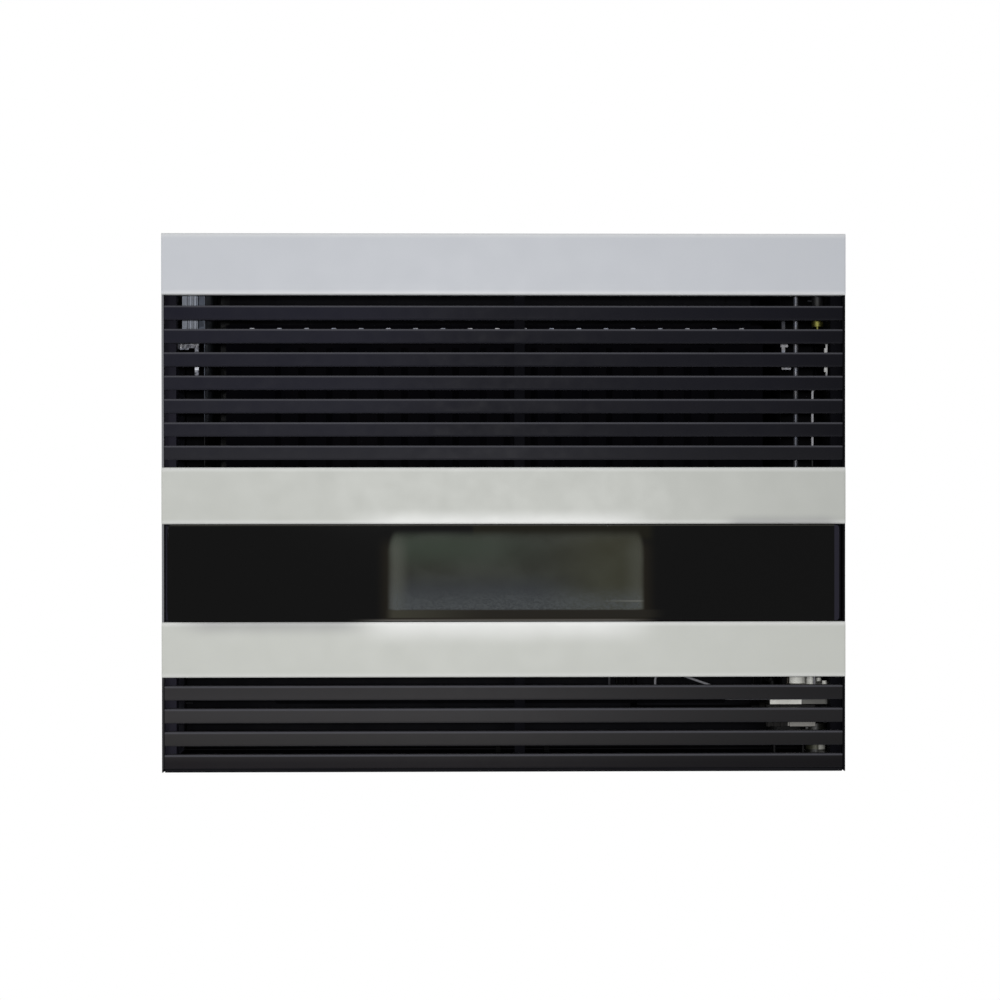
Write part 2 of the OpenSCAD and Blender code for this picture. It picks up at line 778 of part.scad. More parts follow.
module chamber_screws() {
    color([0.8, 0.8, 0.82]) {
        chamber_screw_places() hex_screw(chamber_face, chamber_mouth + chamber_t + 5);
        window_screw_places() hex_screw(chamber_face - chamber_t, chamber_mouth + 5);
    }
}

module chamber_brackets() {
    w = 40;
    t = 2;
    wall_leg = 25;
    chamber_leg = 20;
    from_side = 60;
    color([0.7, 0.71, 0.73]) for (x = [-1, 1], z = [chamber_bottom + 40, chamber_top - from_side])
        translate([chamber_x + x * (chamber_w / 2 - from_side) - w / 2, 0, z]) {
            translate([0, -sheet - t, 0]) cube([w, t, wall_leg]);
            translate([0, chamber_back, 0]) cube([w, chamber_off_wall - sheet, t]);
            translate([0, chamber_back, -chamber_leg]) cube([w, t, chamber_leg + t]);
        }
}

module window_ring(y0, y1, w0, h0, w1, h1) {
    translate([window_x, 0, window_z]) slab_y(y0, y1) difference() {
        round_rect(w1, h1, 6);
        round_rect(w0, h0, 4);
    }
}

module window_gasket() {
    color([0.85, 0.84, 0.8]) window_ring(window_glass_y, chamber_face, window_w, window_h,
        window_w + 2 * window_lap, window_h + 2 * window_lap);
}

module window_glass() {
    color([0.3, 0.3, 0.28, 0.4]) translate([window_x, 0, window_z]) slab_y(window_front_y, window_glass_y)
        round_rect(window_w + 2 * window_lap, window_h + 2 * window_lap, 6);
}

module window_frame() {
    color([0.14, 0.14, 0.14]) difference() {
        union() {
            window_ring(window_front_y - window_skirt, chamber_face, window_w + 2 * window_lap + 2,
                window_h + 2 * window_lap + 2, window_frame_w, window_frame_h);
            window_ring(window_front_y - window_skirt, window_front_y, window_w, window_h,
                window_frame_w - 1, window_frame_h - 1);
            window_ring(chamber_face - chamber_t, chamber_face, window_frame_w - 1, window_frame_h - 1,
                window_frame_w + 2 * window_ear, window_frame_h + 2 * window_ear);
        }
        window_screw_places() cyl_y(screw_d + 2 * fit, chamber_face - chamber_t - 1, chamber_face + 1);
    }
}

// ---------------------------------------------------------------- burner and pilot

// Section of the burner bar: flat above and below, round at the front and back
module burner_outline(inset) {
    w = burner_w - 2 * inset;
    h = burner_h - 2 * inset;
    translate([0, burner_h / 2]) intersection() {
        rect(w, h);
        circle(d = w);
    }
}

module burner_bar() {
    leg_x = burner_l / 2 - 9;
    color([0.62, 0.6, 0.57]) difference() {
        union() {
            translate([window_x, burner_y, burner_z]) run_x(burner_l) burner_outline(0);
            translate([mixer_x, burner_y, air_box_bottom + 18])
                cylinder(d = mixer_d, h = burner_z + 4 - air_box_bottom - 18);
            for (s = [-1, 1]) translate([window_x + s * leg_x - 6, burner_y - 12, chamber_bottom + chamber_t])
                cube([12, 24, burner_z + 3 - chamber_bottom - chamber_t]);
        }
        translate([window_x, burner_y, burner_z]) run_x(burner_l - 4) burner_outline(burner_t);
        translate([mixer_x, burner_y, air_box_bottom])
            cylinder(d = mixer_d - 2, h = burner_z + 3 - air_box_bottom);
        for (i = [0:PORTS - 1])
            translate([window_x + (i - (PORTS - 1) / 2) * (burner_l - 30) / PORTS, burner_y, burner_top])
                cube([2, burner_w * 0.5, 4 * burner_t], center = true);
    }
}

module burner_injector() {
    seat = air_box_bottom + 1.5;
    color([0.78, 0.62, 0.3]) translate([mixer_x, burner_y, 0]) {
        translate([0, 0, seat]) hexagon(14, 8);
        translate([0, 0, seat]) cylinder(d = 8, h = 14);
        translate([0, 0, air_box_bottom - injector_drop]) cylinder(d = 10, h = injector_drop + 2);
        translate([0, 0, air_box_bottom - injector_drop]) hexagon(15, injector_drop - fit);
    }
}

// The pilot stands on its own tube in front of the burner, with a hood bent over the thermocouple
module pilot_burner() {
    hood_w = 16;
    depth = 11;
    t = 1.5;
    front = pilot_y - 6;
    stem_bottom = air_box_bottom - pilot_drop;
    plate_z = burner_z + burner_h / 2;
    color([0.72, 0.71, 0.69]) {
        difference() {
            translate([pilot_x - hood_w, front, plate_z]) cube([2 * hood_w, depth, t]);
            translate([pilot_x + probe_gap, pilot_y, plate_z - 1]) cylinder(d = probe_d + 2 * fit, h = t + 2);
            translate([pilot_x - probe_gap, pilot_y, plate_z - 1])
                cylinder(d = electrode_d + 2 * fit, h = t + 2);
        }
        translate([pilot_x, pilot_y, stem_bottom]) cylinder(d = pilot_d, h = burner_top - 2 - stem_bottom);
        for (x = [pilot_x - hood_w, pilot_x + hood_w - t])
            translate([x, front, plate_z]) cube([t, depth, burner_top + 4 - plate_z]);
        translate([pilot_x, front, burner_top + 3]) cube([hood_w, depth, 1]);
    }
}

// Levels of the three leads that run from the valve side to the pilot, one below the other
thermocouple_run_z = air_box_bottom - 28;
pilot_run_z = air_box_bottom - 33;
ignition_run_z = air_box_bottom - 38;
lead_bend = 5;
outlet_lift = valve_z + 14;

// The probe, its copper lead and the nut that holds it on the valve
module thermocouple() {
    x = pilot_x + probe_gap;
    bottom = thermocouple_run_z + lead_bend;
    nut = [valve_x - 16, control_y - 14, valve_z];
    color([0.75, 0.55, 0.4]) {
        translate([x, pilot_y, bottom]) cylinder(d = probe_d, h = burner_top - bottom);
        wire([
            [x, pilot_y, bottom + 1], [x, pilot_y, thermocouple_run_z], [x + 20, pilot_y, thermocouple_run_z],
            [nut[0] - 60, nut[1], thermocouple_run_z], [nut[0] - 27, nut[1], thermocouple_run_z],
            [nut[0] - 27, nut[1], outlet_lift], [nut[0], nut[1], outlet_lift], nut + [0, 0, 6]
        ], 1.2, lead_bend);
        translate(nut) hexagon(9, 7);
    }
}

module ignition_electrode() {
    x = pilot_x - probe_gap;
    bottom = air_box_bottom - electrode_drop;
    color([0.93, 0.92, 0.88]) translate([x, pilot_y, bottom])
        cylinder(d = electrode_d, h = burner_top - 6 - bottom);
    color([0.6, 0.6, 0.6]) translate([x, pilot_y, bottom - pin_drop])
        cylinder(d = pin_d, h = burner_top + 1 + pin_drop - bottom);
}

// ---------------------------------------------------------------- air and flue

module air_duct() {
    w = duct_w;
    t = 1;
    color([0.1, 0.1, 0.1]) difference() {
        union() {
            translate([-w / 2, chamber_back, air_box_bottom])
                cube([w, duct_back - chamber_back, duct_top - air_box_bottom]);
            translate([window_x - air_box_w / 2, air_box_front, air_box_bottom])
                cube([air_box_w, chamber_back - air_box_front + 10, air_box_h]);
        }
        translate([-w / 2 + t, chamber_back + t, air_box_bottom + t])
            cube([w - 2 * t, duct_back - chamber_back - 2 * t, duct_top - air_box_bottom - 2 * t]);
        translate([window_x - air_box_w / 2 + t, air_box_front + t, air_box_bottom + t])
            cube([air_box_w - 2 * t, chamber_back - air_box_front + 10 - 2 * t, air_box_h - 2 * t]);
        translate([window_x - floor_slot_w / 2, floor_slot_front, air_box_bottom + t + 2])
            cube([floor_slot_w, floor_slot_back - floor_slot_front, air_box_h]);
        translate([-w / 2 + t, chamber_back - 6, air_box_bottom + t])
            cube([w - 2 * t, 12, air_box_h - 2 * t]);
        translate([0, 0, flue_z]) cyl_y(flue_d + 2 * fit, chamber_back - 1, chamber_back + t + 1);
        translate([0, 0, flue_z]) cyl_y(air_d - 2 * spigot_t, duct_back - t - 1, duct_back + 1);
        translate([mixer_x, burner_y, air_box_bottom - 1]) cylinder(d = 10 + 2 * fit, h = 4);
        for (p = [[0, pilot_d], [probe_gap, probe_d], [-probe_gap, electrode_d]])
            translate([pilot_x + p[0], pilot_y, air_box_bottom - 1]) cylinder(d = p[1] + 2 * fit, h = 4);
    }
}

module spigot(d, back, front, flange_d, flange_back) {
    translate([0, 0, flue_z]) difference() {
        union() {
            cyl_y(d, front, back);
            cyl_y(flange_d, flange_back - ring_t, flange_back);
        }
        cyl_y(d - 2 * spigot_t, front - 1, back + 1);
    }
}

module air_spigot() {
    color([0.8, 0.81, 0.82]) spigot(air_d, spigot_l, duct_back, air_d + 2 * sleeve_room + 16, -sheet);
}

module flue_spigot() {
    inner = chamber_back - chamber_t;
    color([0.65, 0.65, 0.66]) spigot(flue_d, spigot_l + 12, inner - ring_t, flue_d + 20, inner);
}

// ---------------------------------------------------------------- gas train

module gas_valve() {
    w = valve_w;
    front = control_y - valve_d / 2;
    low_front = control_y - valve_low_d / 2;
    outlet_x = valve_x - w / 2 - outlet_l;
    rib_h = 26;
    rib_bottom = valve_z - 50;
    rib_pitch = 7.7;
    color([0.74, 0.75, 0.76]) difference() {
        union() {
            translate([valve_x, control_y, valve_shoulder])
                linear_extrude(valve_z - valve_shoulder) round_rect(w, valve_d, 7);
            translate([valve_low_x, control_y, valve_foot])
                linear_extrude(valve_shoulder - valve_foot + 1) round_rect(valve_low_w, valve_low_d, 12);
            // a cover on the front, and below it a block with three ribs and a plain end
            translate([valve_x - w / 2 + 2, front - 2, valve_shoulder]) cube([w / 2 + 1, 3, 20]);
            translate([valve_x - 11, front, rib_bottom]) cube([30, low_front - front + 3, rib_h]);
            translate([valve_x - 38, front + 6, rib_bottom]) cube([28, low_front - front - 3, rib_h]);
            for (i = [0:2]) translate([valve_x - 37 + i * rib_pitch, front + 2, rib_bottom])
                cube([3, 5, rib_h]);
            // the spindle's boss, the ports and the heads of the cover screws on top
            translate([valve_x, control_y, valve_z - 1]) cylinder(d = boss_d, h = boss_h + 1);
            translate(sensor_port - [0, 0, sensor_port_h + 1]) cylinder(d = 11, h = sensor_port_h + 1);
            translate(pilot_port - [0, 0, pilot_port_h + 1]) cylinder(d = 10, h = pilot_port_h + 1);
            for (x = [-1, 1], y = [-1, 1])
                translate([valve_x + x * (w / 2 - 7), control_y + y * (valve_d / 2 - 7), valve_z - 1])
                    cylinder(d = 6, h = 5);
            translate([outlet_x, control_y, manifold_z]) rotate([0, 90, 0])
                cylinder(d = 16, h = valve_low_x - outlet_x);
        }
        translate([valve_x, control_y, rotor_top - rotor_depth - 1])
            cylinder(d = rotor_d + 2 * running, h = rotor_depth + 2 + boss_h);
    }
}

module valve_bracket() {
    w = 36;
    t = 2;
    deep = 40;
    foot = 10;
    bottom = base_z + 2 * sheet;
    color([0.7, 0.71, 0.73]) translate([valve_low_x, control_y, 0]) {
        translate([-w / 2, -deep / 2, valve_foot - t]) cube([w, deep, t]);
        for (s = [-1, 1]) {
            translate([s * (w - t) / 2 - t / 2, -deep / 2, bottom]) cube([t, deep, valve_foot - bottom]);
            translate([s * (w - foot) / 2 - foot / 2, -deep / 2, bottom]) cube([foot, deep, t]);
        }
    }
}

module manifold_pipe() {
    bend_r = 12;
    nut_l = 10;
    start_x = valve_x - valve_w / 2 - outlet_l - fit;
    color([0.72, 0.72, 0.74]) {
        bent_pipe([
            [start_x, control_y, manifold_z], [mixer_x, control_y, manifold_z],
            [mixer_x, burner_y, manifold_z], [mixer_x, burner_y, air_box_bottom - injector_drop - fit]
        ], pipe_r, bend_r);
        translate([start_x - nut_l, control_y, manifold_z]) rotate([0, 90, 0]) hexagon(15, nut_l);
    }
}

module pilot_tube() {
    start = pilot_port + [0, 0, fit];
    end = [pilot_x, pilot_y, air_box_bottom - pilot_drop - fit];
    run_y = pilot_y - 14;
    color([0.75, 0.74, 0.72]) wire([
        start, [start[0], start[1], start[2] + 12], [start[0] - 21, start[1], start[2] + 12],
        [start[0] - 21, start[1], pilot_run_z], [start[0] - 50, run_y, pilot_run_z],
        [end[0], run_y, pilot_run_z], [end[0], end[1], pilot_run_z], end
    ], 2, lead_bend, 10);
}

// A liquid-filled bulb in the cool air above the tray, clipped down and joined to the valve by its capillary
module thermostat_sensor() {
    bulb_l = 90;
    bulb_lift = 18.6;
    bulb = [window_x - 40, -40, base_z + 2 * sheet + bulb_lift];
    start = sensor_port + [0, 0, fit];
    side_x = start[0] + 14;
    color([0.75, 0.55, 0.4]) {
        translate(bulb) rotate([0, 90, 0]) cylinder(d = 7, h = bulb_l);
        wire([
            start, [start[0], start[1], start[2] + 10], [side_x, start[1] + 20, start[2] + 10],
            [side_x, -60, start[2] + 10], [side_x, -60, bulb[2]], [side_x - 30, bulb[1], bulb[2]],
            bulb + [bulb_l - 1, 0, 0]
        ], 1, lead_bend);
        for (x = [15, 75]) translate(bulb + [x, -2, -bulb_lift]) {
            cube([6, 4, bulb_lift - 3]);
            translate([0, -8, 0]) cube([6, 20, 1]);
        }
    }
}

// A brass elbow with a threaded socket that faces down through the tray
module gas_inlet_elbow() {
    z = valve_foot + 8;
    face_x = valve_low_x + valve_low_w / 2;
    color([0.76, 0.62, 0.32]) difference() {
        union() {
            translate([inlet_x, control_y, inlet_mouth]) cylinder(d = 24, h = z + 6 - inlet_mouth);
            translate([inlet_x, control_y, inlet_mouth]) hexagon(29, 9);
            translate([face_x, control_y, z]) rotate([0, 90, 0]) cylinder(d = 14, h = inlet_x - face_x);
        }
        translate([inlet_x, control_y, inlet_mouth - 1]) cylinder(r = inlet_r, h = inlet_bore_l + 1);
    }
}

// ---------------------------------------------------------------- controls

stem_flat = 0.3;    // the flat's distance from the axis, as a share of the diameter

// A round bore or stem with one flat along it
module d_stem(d, h) {
    intersection() {
        cylinder(d = d, h = h);
        translate([-d, -d, 0]) cube([2 * d, (1 + stem_flat) * d, h]);
    }
}

module valve_rotor() {
    color([0.85, 0.85, 0.82]) translate([spindle_x, control_y, 0]) difference() {
        translate([0, 0, rotor_top - rotor_depth]) cylinder(d = rotor_d, h = rotor_depth);
        translate([0, 0, rotor_top - rotor_depth - 1]) d_stem(spindle_d + 2 * running, rotor_depth + 2);
    }
}

spindle_bottom = rotor_top - 16;
spindle_top = knob_z + knob_h - 6;

// A long plated rod with a flat at each end, for the rotor below and the knob above
module control_spindle() {
    low_flat = rotor_top + knob_travel + 2;
    high_flat = knob_z - 4;
    color([0.78, 0.79, 0.8]) translate([spindle_x, control_y, 0]) difference() {
        translate([0, 0, spindle_bottom]) cylinder(d = spindle_d, h = spindle_top - spindle_bottom);
        translate([-spindle_d, stem_flat * spindle_d, spindle_bottom - 1])
            cube([2 * spindle_d, spindle_d, low_flat - spindle_bottom + 1]);
        translate([-spindle_d, stem_flat * spindle_d, high_flat])
            cube([2 * spindle_d, spindle_d, spindle_top - high_flat + 1]);
    }
}

module control_knob() {
    flutes = 20;
    r = knob_d / 2;
    color([0.1, 0.1, 0.11]) translate([spindle_x, control_y, knob_z]) difference() {
        union() {
            rotate_extrude() polygon(concat(
                [[0, 0], [r - 1.5, 0], [r, 1.5]], [[r - 1, knob_h * 0.55]],
                arc([r - 5, knob_h * 0.55], 4, 0, 70, 4), [[0, knob_h * 0.55 + 4.2]]));
            translate([-4, -r + 3, knob_h * 0.5]) cube([8, 2 * r - 6, knob_h * 0.5]);
        }
        for (i = [0:flutes - 1]) rotate(i * 360 / flutes) translate([r + 0.8, 0, -1])
            cylinder(d = 3, h = knob_h * 0.55, $fn = 24);
        translate([0, 0, -1]) d_stem(spindle_d + 2 * 0.05, spindle_top - knob_z + 1.2);
        translate([-0.8, -r + 2, knob_h - 1]) cube([1.6, r - 3, 2]);
    }
}

// A folded bracket on the right shield steadies the long spindle; a strip with a cross-bar stands on it
module spindle_guide() {
    z = top_z - 141;
    t = 1.6;
    deep = 20;
    x0 = shield_right_x + shield_t;
    front = control_y - deep / 2;
    strip_x = spindle_x - 16;
    color([0.75, 0.76, 0.78]) difference() {
        union() {
            translate([x0, front, z]) cube([spindle_x - x0 + 9, deep, t]);
            translate([x0, front, z]) cube([t, deep, 16]);
            translate([strip_x - 2, front, z - 8]) cube([4, t, 62]);
            translate([strip_x - 5.5, front, z + 14]) cube([11, t, 6]);
            translate([strip_x - 2, front, z - 12.5]) cube([11, t, 5]);
        }
        translate([spindle_x, control_y, z - 1]) cylinder(d = spindle_d + 2 * fit, h = t + 2);
    }
}

igniter_l = 68;

module piezo_igniter() {
    ring_d = button_d + 6;
    under = well_floor_z - well_wall;
    color([0.1, 0.1, 0.11]) translate([button_x, control_y, 0]) difference() {
        union() {
            translate([0, 0, well_floor_z]) cylinder(d = ring_d, h = 2);
            translate([0, 0, under - igniter_l]) cylinder(d = button_d + 4, h = igniter_l + well_wall + 1);
            translate([0, 0, under - 5]) hexagon(button_d + 8, 5);
            translate([0, 0, under - igniter_l - 8]) cylinder(d = 4, h = 9);
        }
        translate([0, 0, well_floor_z + 2 - button_rise - button_travel - 8])
            cylinder(d = button_d + 2 * running, h = 40);
    }
}

module piezo_button() {
    stem = 6 + 2;
    top = well_floor_z + 2 + button_rise;
    color([0.1, 0.1, 0.11]) translate([button_x, control_y, 0]) {
        translate([0, 0, well_floor_z + 2 - stem])
            cylinder(d = button_d, h = top - 1 - well_floor_z - 2 + stem);
        translate([0, 0, top - 1]) cylinder(d1 = button_d, d2 = button_d - 1.6, h = 1);
    }
}

// From the igniter through a white connector, down past the valve and along to the electrode
module ignition_lead() {
    start = [button_x, control_y, well_floor_z - well_wall - igniter_l - 8 - fit];
    end = [pilot_x - probe_gap, pilot_y, air_box_bottom - electrode_drop - pin_drop - fit];
    plug = [button_x + 6.6, control_y - 30, start[2] - 19];
    plug_l = 28;
    lane_x = button_x - 9;
    lane_y = control_y - 21;
    front_y0 = control_y - valve_d / 2 - 6;
    run_y = pilot_y - 22;
    climb_x = pilot_x + 110;
    high_z = air_box_bottom - 24;
    color([0.9, 0.89, 0.85]) {
        translate(plug - [0, 0, plug_l]) cylinder(d = 6.4, h = plug_l);
        wire([
            start, start - [0, 0, 7], plug + [0, 0, 7], plug - [0, 0, plug_l + 7],
            [lane_x, lane_y, plug[2] - plug_l - 22], [lane_x, lane_y, valve_z + 40],
            [lane_x, front_y0, valve_z + 18], [lane_x, front_y0, ignition_run_z],
            [climb_x + 14, front_y0, ignition_run_z], [climb_x, run_y, high_z],
            [climb_x - 34, run_y, high_z + 12], [climb_x - 66, run_y, high_z + 12],
            [climb_x - 66, run_y, ignition_run_z], [end[0], run_y, ignition_run_z],
            [end[0], end[1], ignition_run_z], end
        ], 1.4, lead_bend);
    }
}

module casing_screws() {
    color([0.8, 0.8, 0.82]) casing_screw_places() countersink(0);
}

// ---------------------------------------------------------------- nodes

back_plate();
base_tray();
mirror([1, 0, 0]) side_panel();  // left_side_panel
side_panel();  // right_side_panel
top_panel();
control_well();
mirror([1, 0, 0]) upright();  // left_upright
upright();  // right_upright
band(upper_grille_top, top_band_h, sheet);  // top_band
band(glass_strip_top, middle_band_h);  // middle_band
band(lower_grille_top, lower_band_h);  // lower_band
for (i = [1:UPPER_SLATS]) slat(upper_slat_z(i));
for (i = [1:LOWER_SLATS]) slat(lower_slat_z(i));
centre_braces();
glass_carrier();
glass_pads();
front_glass();
left_heat_shield();
right_heat_shield();
shield_bracket();
chamber_shell();
chamber_flange();
chamber_front();
flue_baffle();
chamber_screws();
chamber_brackets();
window_gasket();
window_glass();
window_frame();
burner_bar();
burner_injector();
pilot_burner();
thermocouple();
ignition_electrode();
air_duct();
air_spigot();
flue_spigot();
gas_valve();
valve_bracket();
manifold_pipe();
pilot_tube();
thermostat_sensor();
ignition_lead();
gas_inlet_elbow();
valve_rotor();
control_spindle();
control_knob();
spindle_guide();
piezo_igniter();
piezo_button();
casing_screws();
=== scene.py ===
"""The looks of a wall-hung gas heater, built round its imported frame.

Metres throughout. X runs to the right, Y into the wall and Z up; the origin is the middle of the
four wall-fixing holes. Folded sheets, glass and knob are modelled here over their plain solids,
and every solid that stays gets its own finish.
"""

import json
import math

import bpy
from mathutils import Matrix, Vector


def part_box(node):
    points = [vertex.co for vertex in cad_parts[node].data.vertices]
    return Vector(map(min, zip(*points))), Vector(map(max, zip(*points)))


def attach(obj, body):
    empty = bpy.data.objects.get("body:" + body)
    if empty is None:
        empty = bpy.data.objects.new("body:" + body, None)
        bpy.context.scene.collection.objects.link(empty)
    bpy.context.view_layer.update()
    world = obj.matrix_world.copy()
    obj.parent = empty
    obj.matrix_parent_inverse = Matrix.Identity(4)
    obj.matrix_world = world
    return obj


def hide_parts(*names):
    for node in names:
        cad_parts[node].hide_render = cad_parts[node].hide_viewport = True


MM = 0.001

# Camera, matched to the corners of the casing in the photograph
CAMERA_PLACE = (-0.0557, -3.040, 0.0188)
CAMERA_TURN = (89.682, 0.033, -1.037)
CAMERA_LENS = 87.33
SENSOR_WIDTH = 36
FAR_CLIP = 30

# Studio: every lamp has a place, a width and height, a power and a colour
AMBIENT = 0.30
FLOOR_PLACE = (0, -0.3, -0.95)
FLOOR_SIZE = (3.4, 2.6, 1)
LAMP_TARGET = (0, -0.24, 0)
LAMPS = {
    "key_lamp": ((-1.3, -2.4, 1.2), (1.6, 1.4), 7.5, (1, 0.99, 0.975)),
    "left_lamp": ((-1.25, -2.7, 0.03), (0.5, 0.2), 11, (1, 1, 1)),
    "right_lamp": ((1.35, -2.7, 0.03), (0.5, 0.2), 5, (1, 1, 1)),
    "front_lamp": ((0.0, -3.4, 0.06), (0.8, 0.08), 32, (1, 1, 1)),
    "top_lamp": ((0.1, -0.9, 2.0), (1.8, 0.9), 6, (0.94, 0.97, 1)),
    "low_lamp": ((0.0, -1.9, -0.8), (1.8, 0.5), 2, (1, 1, 1)),
}

# Sheet metal: thicknesses, folds, the notch at the ends of the lips and the broken cut edges
CASING_SHEET = 1.2 * MM
CASING_FOLD = 2.2 * MM
LIP_NOTCH = 2.7 * MM
SLAT_SHEET = 1.0 * MM
SLAT_FOLD = 2.2 * MM
FOLD_SEGMENTS = 8
BAND_EDGE = 0.2 * MM
SLAT_EDGE = 0.15 * MM
LEVEL_MARGIN = 0.1 * MM
UPPER_SLATS = 7
LOWER_SLATS = 4

# Width of the painted highlight inside a fold, and the name of the mark that carries it to the finishes
BAND_HIGHLIGHT_REACH = 6 * MM
SLAT_HIGHLIGHT_REACH = 3 * MM
FOLD_HIGHLIGHT_MARK = "rim"

# The opening that the glass strip fills, and the clear part of the glass over the flame window
STRIP_LOW = -0.1375
STRIP_HIGH = -0.0245
CLEAR_X = 0.0139
CLEAR_HALF_WIDTH = 0.1462
CLEAR_LEFT = CLEAR_X - CLEAR_HALF_WIDTH
CLEAR_RIGHT = CLEAR_X + CLEAR_HALF_WIDTH
CLEAR_LOW = -0.1236
CLEAR_HIGH = -0.031
GLASS_CORNER = 4 * MM
GLASS_EDGE = 0.6 * MM
GLASS_RING = 0.3 * MM

# The control knob, with its shoulder as steps inwards and up in millimetres
KNOB_SIDES = 96
SIDES_PER_GROOVE = 4
GROOVE_RIM = 0.2 * MM
GROOVE_DEPTH = 0.8 * MM
KNOB_SHOULDER = 12 * MM
SHOULDER_STEPS = ((0.5, 0.9), (1.1, 0.9), (1.6, 0.5), (2.2, 0.2))
BAR_HALF_WIDTH = 4.2 * MM
BAR_FROM_RIM = 2.6 * MM
BAR_SUNK = 3 * MM
BAR_TAPER = (0.7, 0.93, 1.0)
BAR_ROUNDING = 1.3 * MM
POINTER_HALF_WIDTH = 0.6 * MM
POINTER_FROM_RIM = 5.6 * MM
POINTER_FROM_MIDDLE = 1 * MM
POINTER_SUNK = 0.6 * MM
POINTER_PROUD = 0.15 * MM

# The printed scale on the floor of the control well
WELL_DEPTH = 33 * MM
MARKS = 7
MARK_TURN = 45
MARK_INNER = 18.3 * MM
MARK_OUTER = 20.6 * MM
MARK_HALF_WIDTH = 0.5 * MM
MARK_SUNK = 0.1 * MM
MARK_PROUD = 0.12 * MM

# Edges sharper than this many degrees stay sharp in smooth shading
SMOOTH_ANGLE = 30

# The usual reach of the noise patterns, and the sockets of a node that mixes two colours
NOISE_LOW = 0.3
NOISE_HIGH = 0.7
MIX_FIRST = 6
MIX_SECOND = 7
MIX_RESULT = 2

# How softly a local tone ends, where nothing else is given
SOFT_EDGE = 0.6 * MM


# ---------------------------------------------------------------- modelling by hand


def only(piece):
    """Makes piece the one selected and active object."""
    bpy.ops.object.select_all(action="DESELECT")
    piece.select_set(True)
    bpy.context.view_layer.objects.active = piece


def settle(piece, name):
    """Names a new piece and moves its place into its mesh."""
    piece.name = name
    piece.data.name = name
    only(piece)
    bpy.ops.object.transform_apply(location=True, rotation=True, scale=True)
    return piece


def block(name, low, high):
    """A block between two corners."""
    middle = (Vector(low) + Vector(high)) / 2
    size = Vector(high) - Vector(low)
    bpy.ops.object.select_all(action="DESELECT")
    bpy.ops.mesh.primitive_cube_add(size=1, location=middle, scale=size)
    return settle(bpy.context.object, name)


def drum(name, radius, low_z, high_z, x, y, sides=48):
    """An upright drum between two levels."""
    bpy.ops.object.select_all(action="DESELECT")
    bpy.ops.mesh.primitive_cylinder_add(
        vertices=sides,
        radius=radius,
        depth=high_z - low_z,
        location=(x, y, (low_z + high_z) / 2),
    )
    return settle(bpy.context.object, name)


def unpick(mesh):
    """Deselects every corner, edge and face of a mesh."""
    for group in (mesh.vertices, mesh.edges, mesh.polygons):
        group.foreach_set("select", [False] * len(group))


def pick_faces(piece, wanted):
    """Opens piece in edit mode with the faces selected whose centre and normal pass the test."""
    only(piece)
    unpick(piece.data)
    bpy.context.tool_settings.mesh_select_mode = (False, False, True)
    for face in piece.data.polygons:
        face.select = bool(wanted(face.center, face.normal))
    bpy.ops.object.mode_set(mode="EDIT")


def pick_edges(piece, wanted):
    """Opens piece in edit mode with the edges selected whose middle and direction pass the test."""
    only(piece)
    mesh = piece.data
    unpick(mesh)
    bpy.context.tool_settings.mesh_select_mode = (False, True, False)
    for edge in mesh.edges:
        a, b = (mesh.vertices[i].co for i in edge.vertices)
        edge.select = bool(wanted((a + b) / 2, (b - a).normalized()))
    bpy.ops.object.mode_set(mode="EDIT")


def close_edit():
    """Leaves edit mode."""
    bpy.ops.object.mode_set(mode="OBJECT")


def apply_modifier(piece, kind, **settings):
    """Adds one modifier with its settings and applies it."""
    only(piece)
    modifier = piece.modifiers.new(kind.lower(), kind)
    for name, value in settings.items():
        setattr(modifier, name, value)
    bpy.ops.object.modifier_apply(modifier=modifier.name)


def shade_folds(piece):
    """Shades a piece smooth, except across its sharp edges."""
    only(piece)
    bpy.ops.object.shade_smooth_by_angle(angle=math.radians(SMOOTH_ANGLE))


def soften_edges(piece, width, segments=2, angle=35):
    """Rounds every edge sharper than the angle, and shades the rest smooth."""
    apply_modifier(
        piece,
        "BEVEL",
        width=width,
        segments=segments,
        limit_method="ANGLE",
        angle_limit=math.radians(angle),
    )
    shade_folds(piece)


def copy_at(piece, name, offset):
    """A copy of a finished piece with its own mesh, moved by an offset."""
    only(piece)
    bpy.ops.object.duplicate(linked=False)
    twin = bpy.context.object
    twin.location = offset
    return settle(twin, name)


def fit(piece, body, slot, finish, *nodes):
    """Puts a finished piece on its body, with its material; its slot is not used."""
    piece.data.materials.clear()
    piece.data.materials.append(finish)
    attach(piece, body)
    if nodes:
        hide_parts(*nodes)
    return piece


# ---------------------------------------------------------------- nodes of a material


def srgb(red, green, blue):
    """A colour as it shows on screen, from 0 to 255, as a linear RGBA value."""
    channels = []
    for value in (red, green, blue):
        c = value / 255
        channels.append(c / 12.92 if c <= 0.04045 else ((c + 0.055) / 1.055) ** 2.4)
    return (*channels, 1.0)


# Tones of the enamel: from low to high, a painted tint of cooler light from above; the fold highlight,
# glow, shade and dim tones are painted highlight, light, shadow and shade
ENAMEL_LOW = srgb(184, 186, 180)
ENAMEL_HIGH = srgb(183, 186, 192)
ENAMEL_FOLD_HIGHLIGHT = srgb(220, 221, 220)
ENAMEL_GLOW = srgb(228, 229, 227)
ENAMEL_SHADE = srgb(124, 124, 126)
ENAMEL_DIM = srgb(150, 152, 148)

# Tones of the slats, at shares of the way up from the lowest level to the highest: painted light and
# shade, darkest at the very bottom, greyer low down and bluish and darker above
SLATS_LOW = -0.311
SLATS_HIGH = 0.240
SLAT_LIGHT_AND_SHADE = (
    (0.02, srgb(24, 22, 24)),
    (0.05, srgb(45, 44, 44)),
    (0.12, srgb(54, 53, 54)),
    (0.17, srgb(48, 47, 48)),
    (0.64, srgb(34, 34, 38)),
    (0.72, srgb(27, 27, 35)),
    (0.80, srgb(25, 25, 34)),
    (1.00, srgb(20, 20, 31)),
)
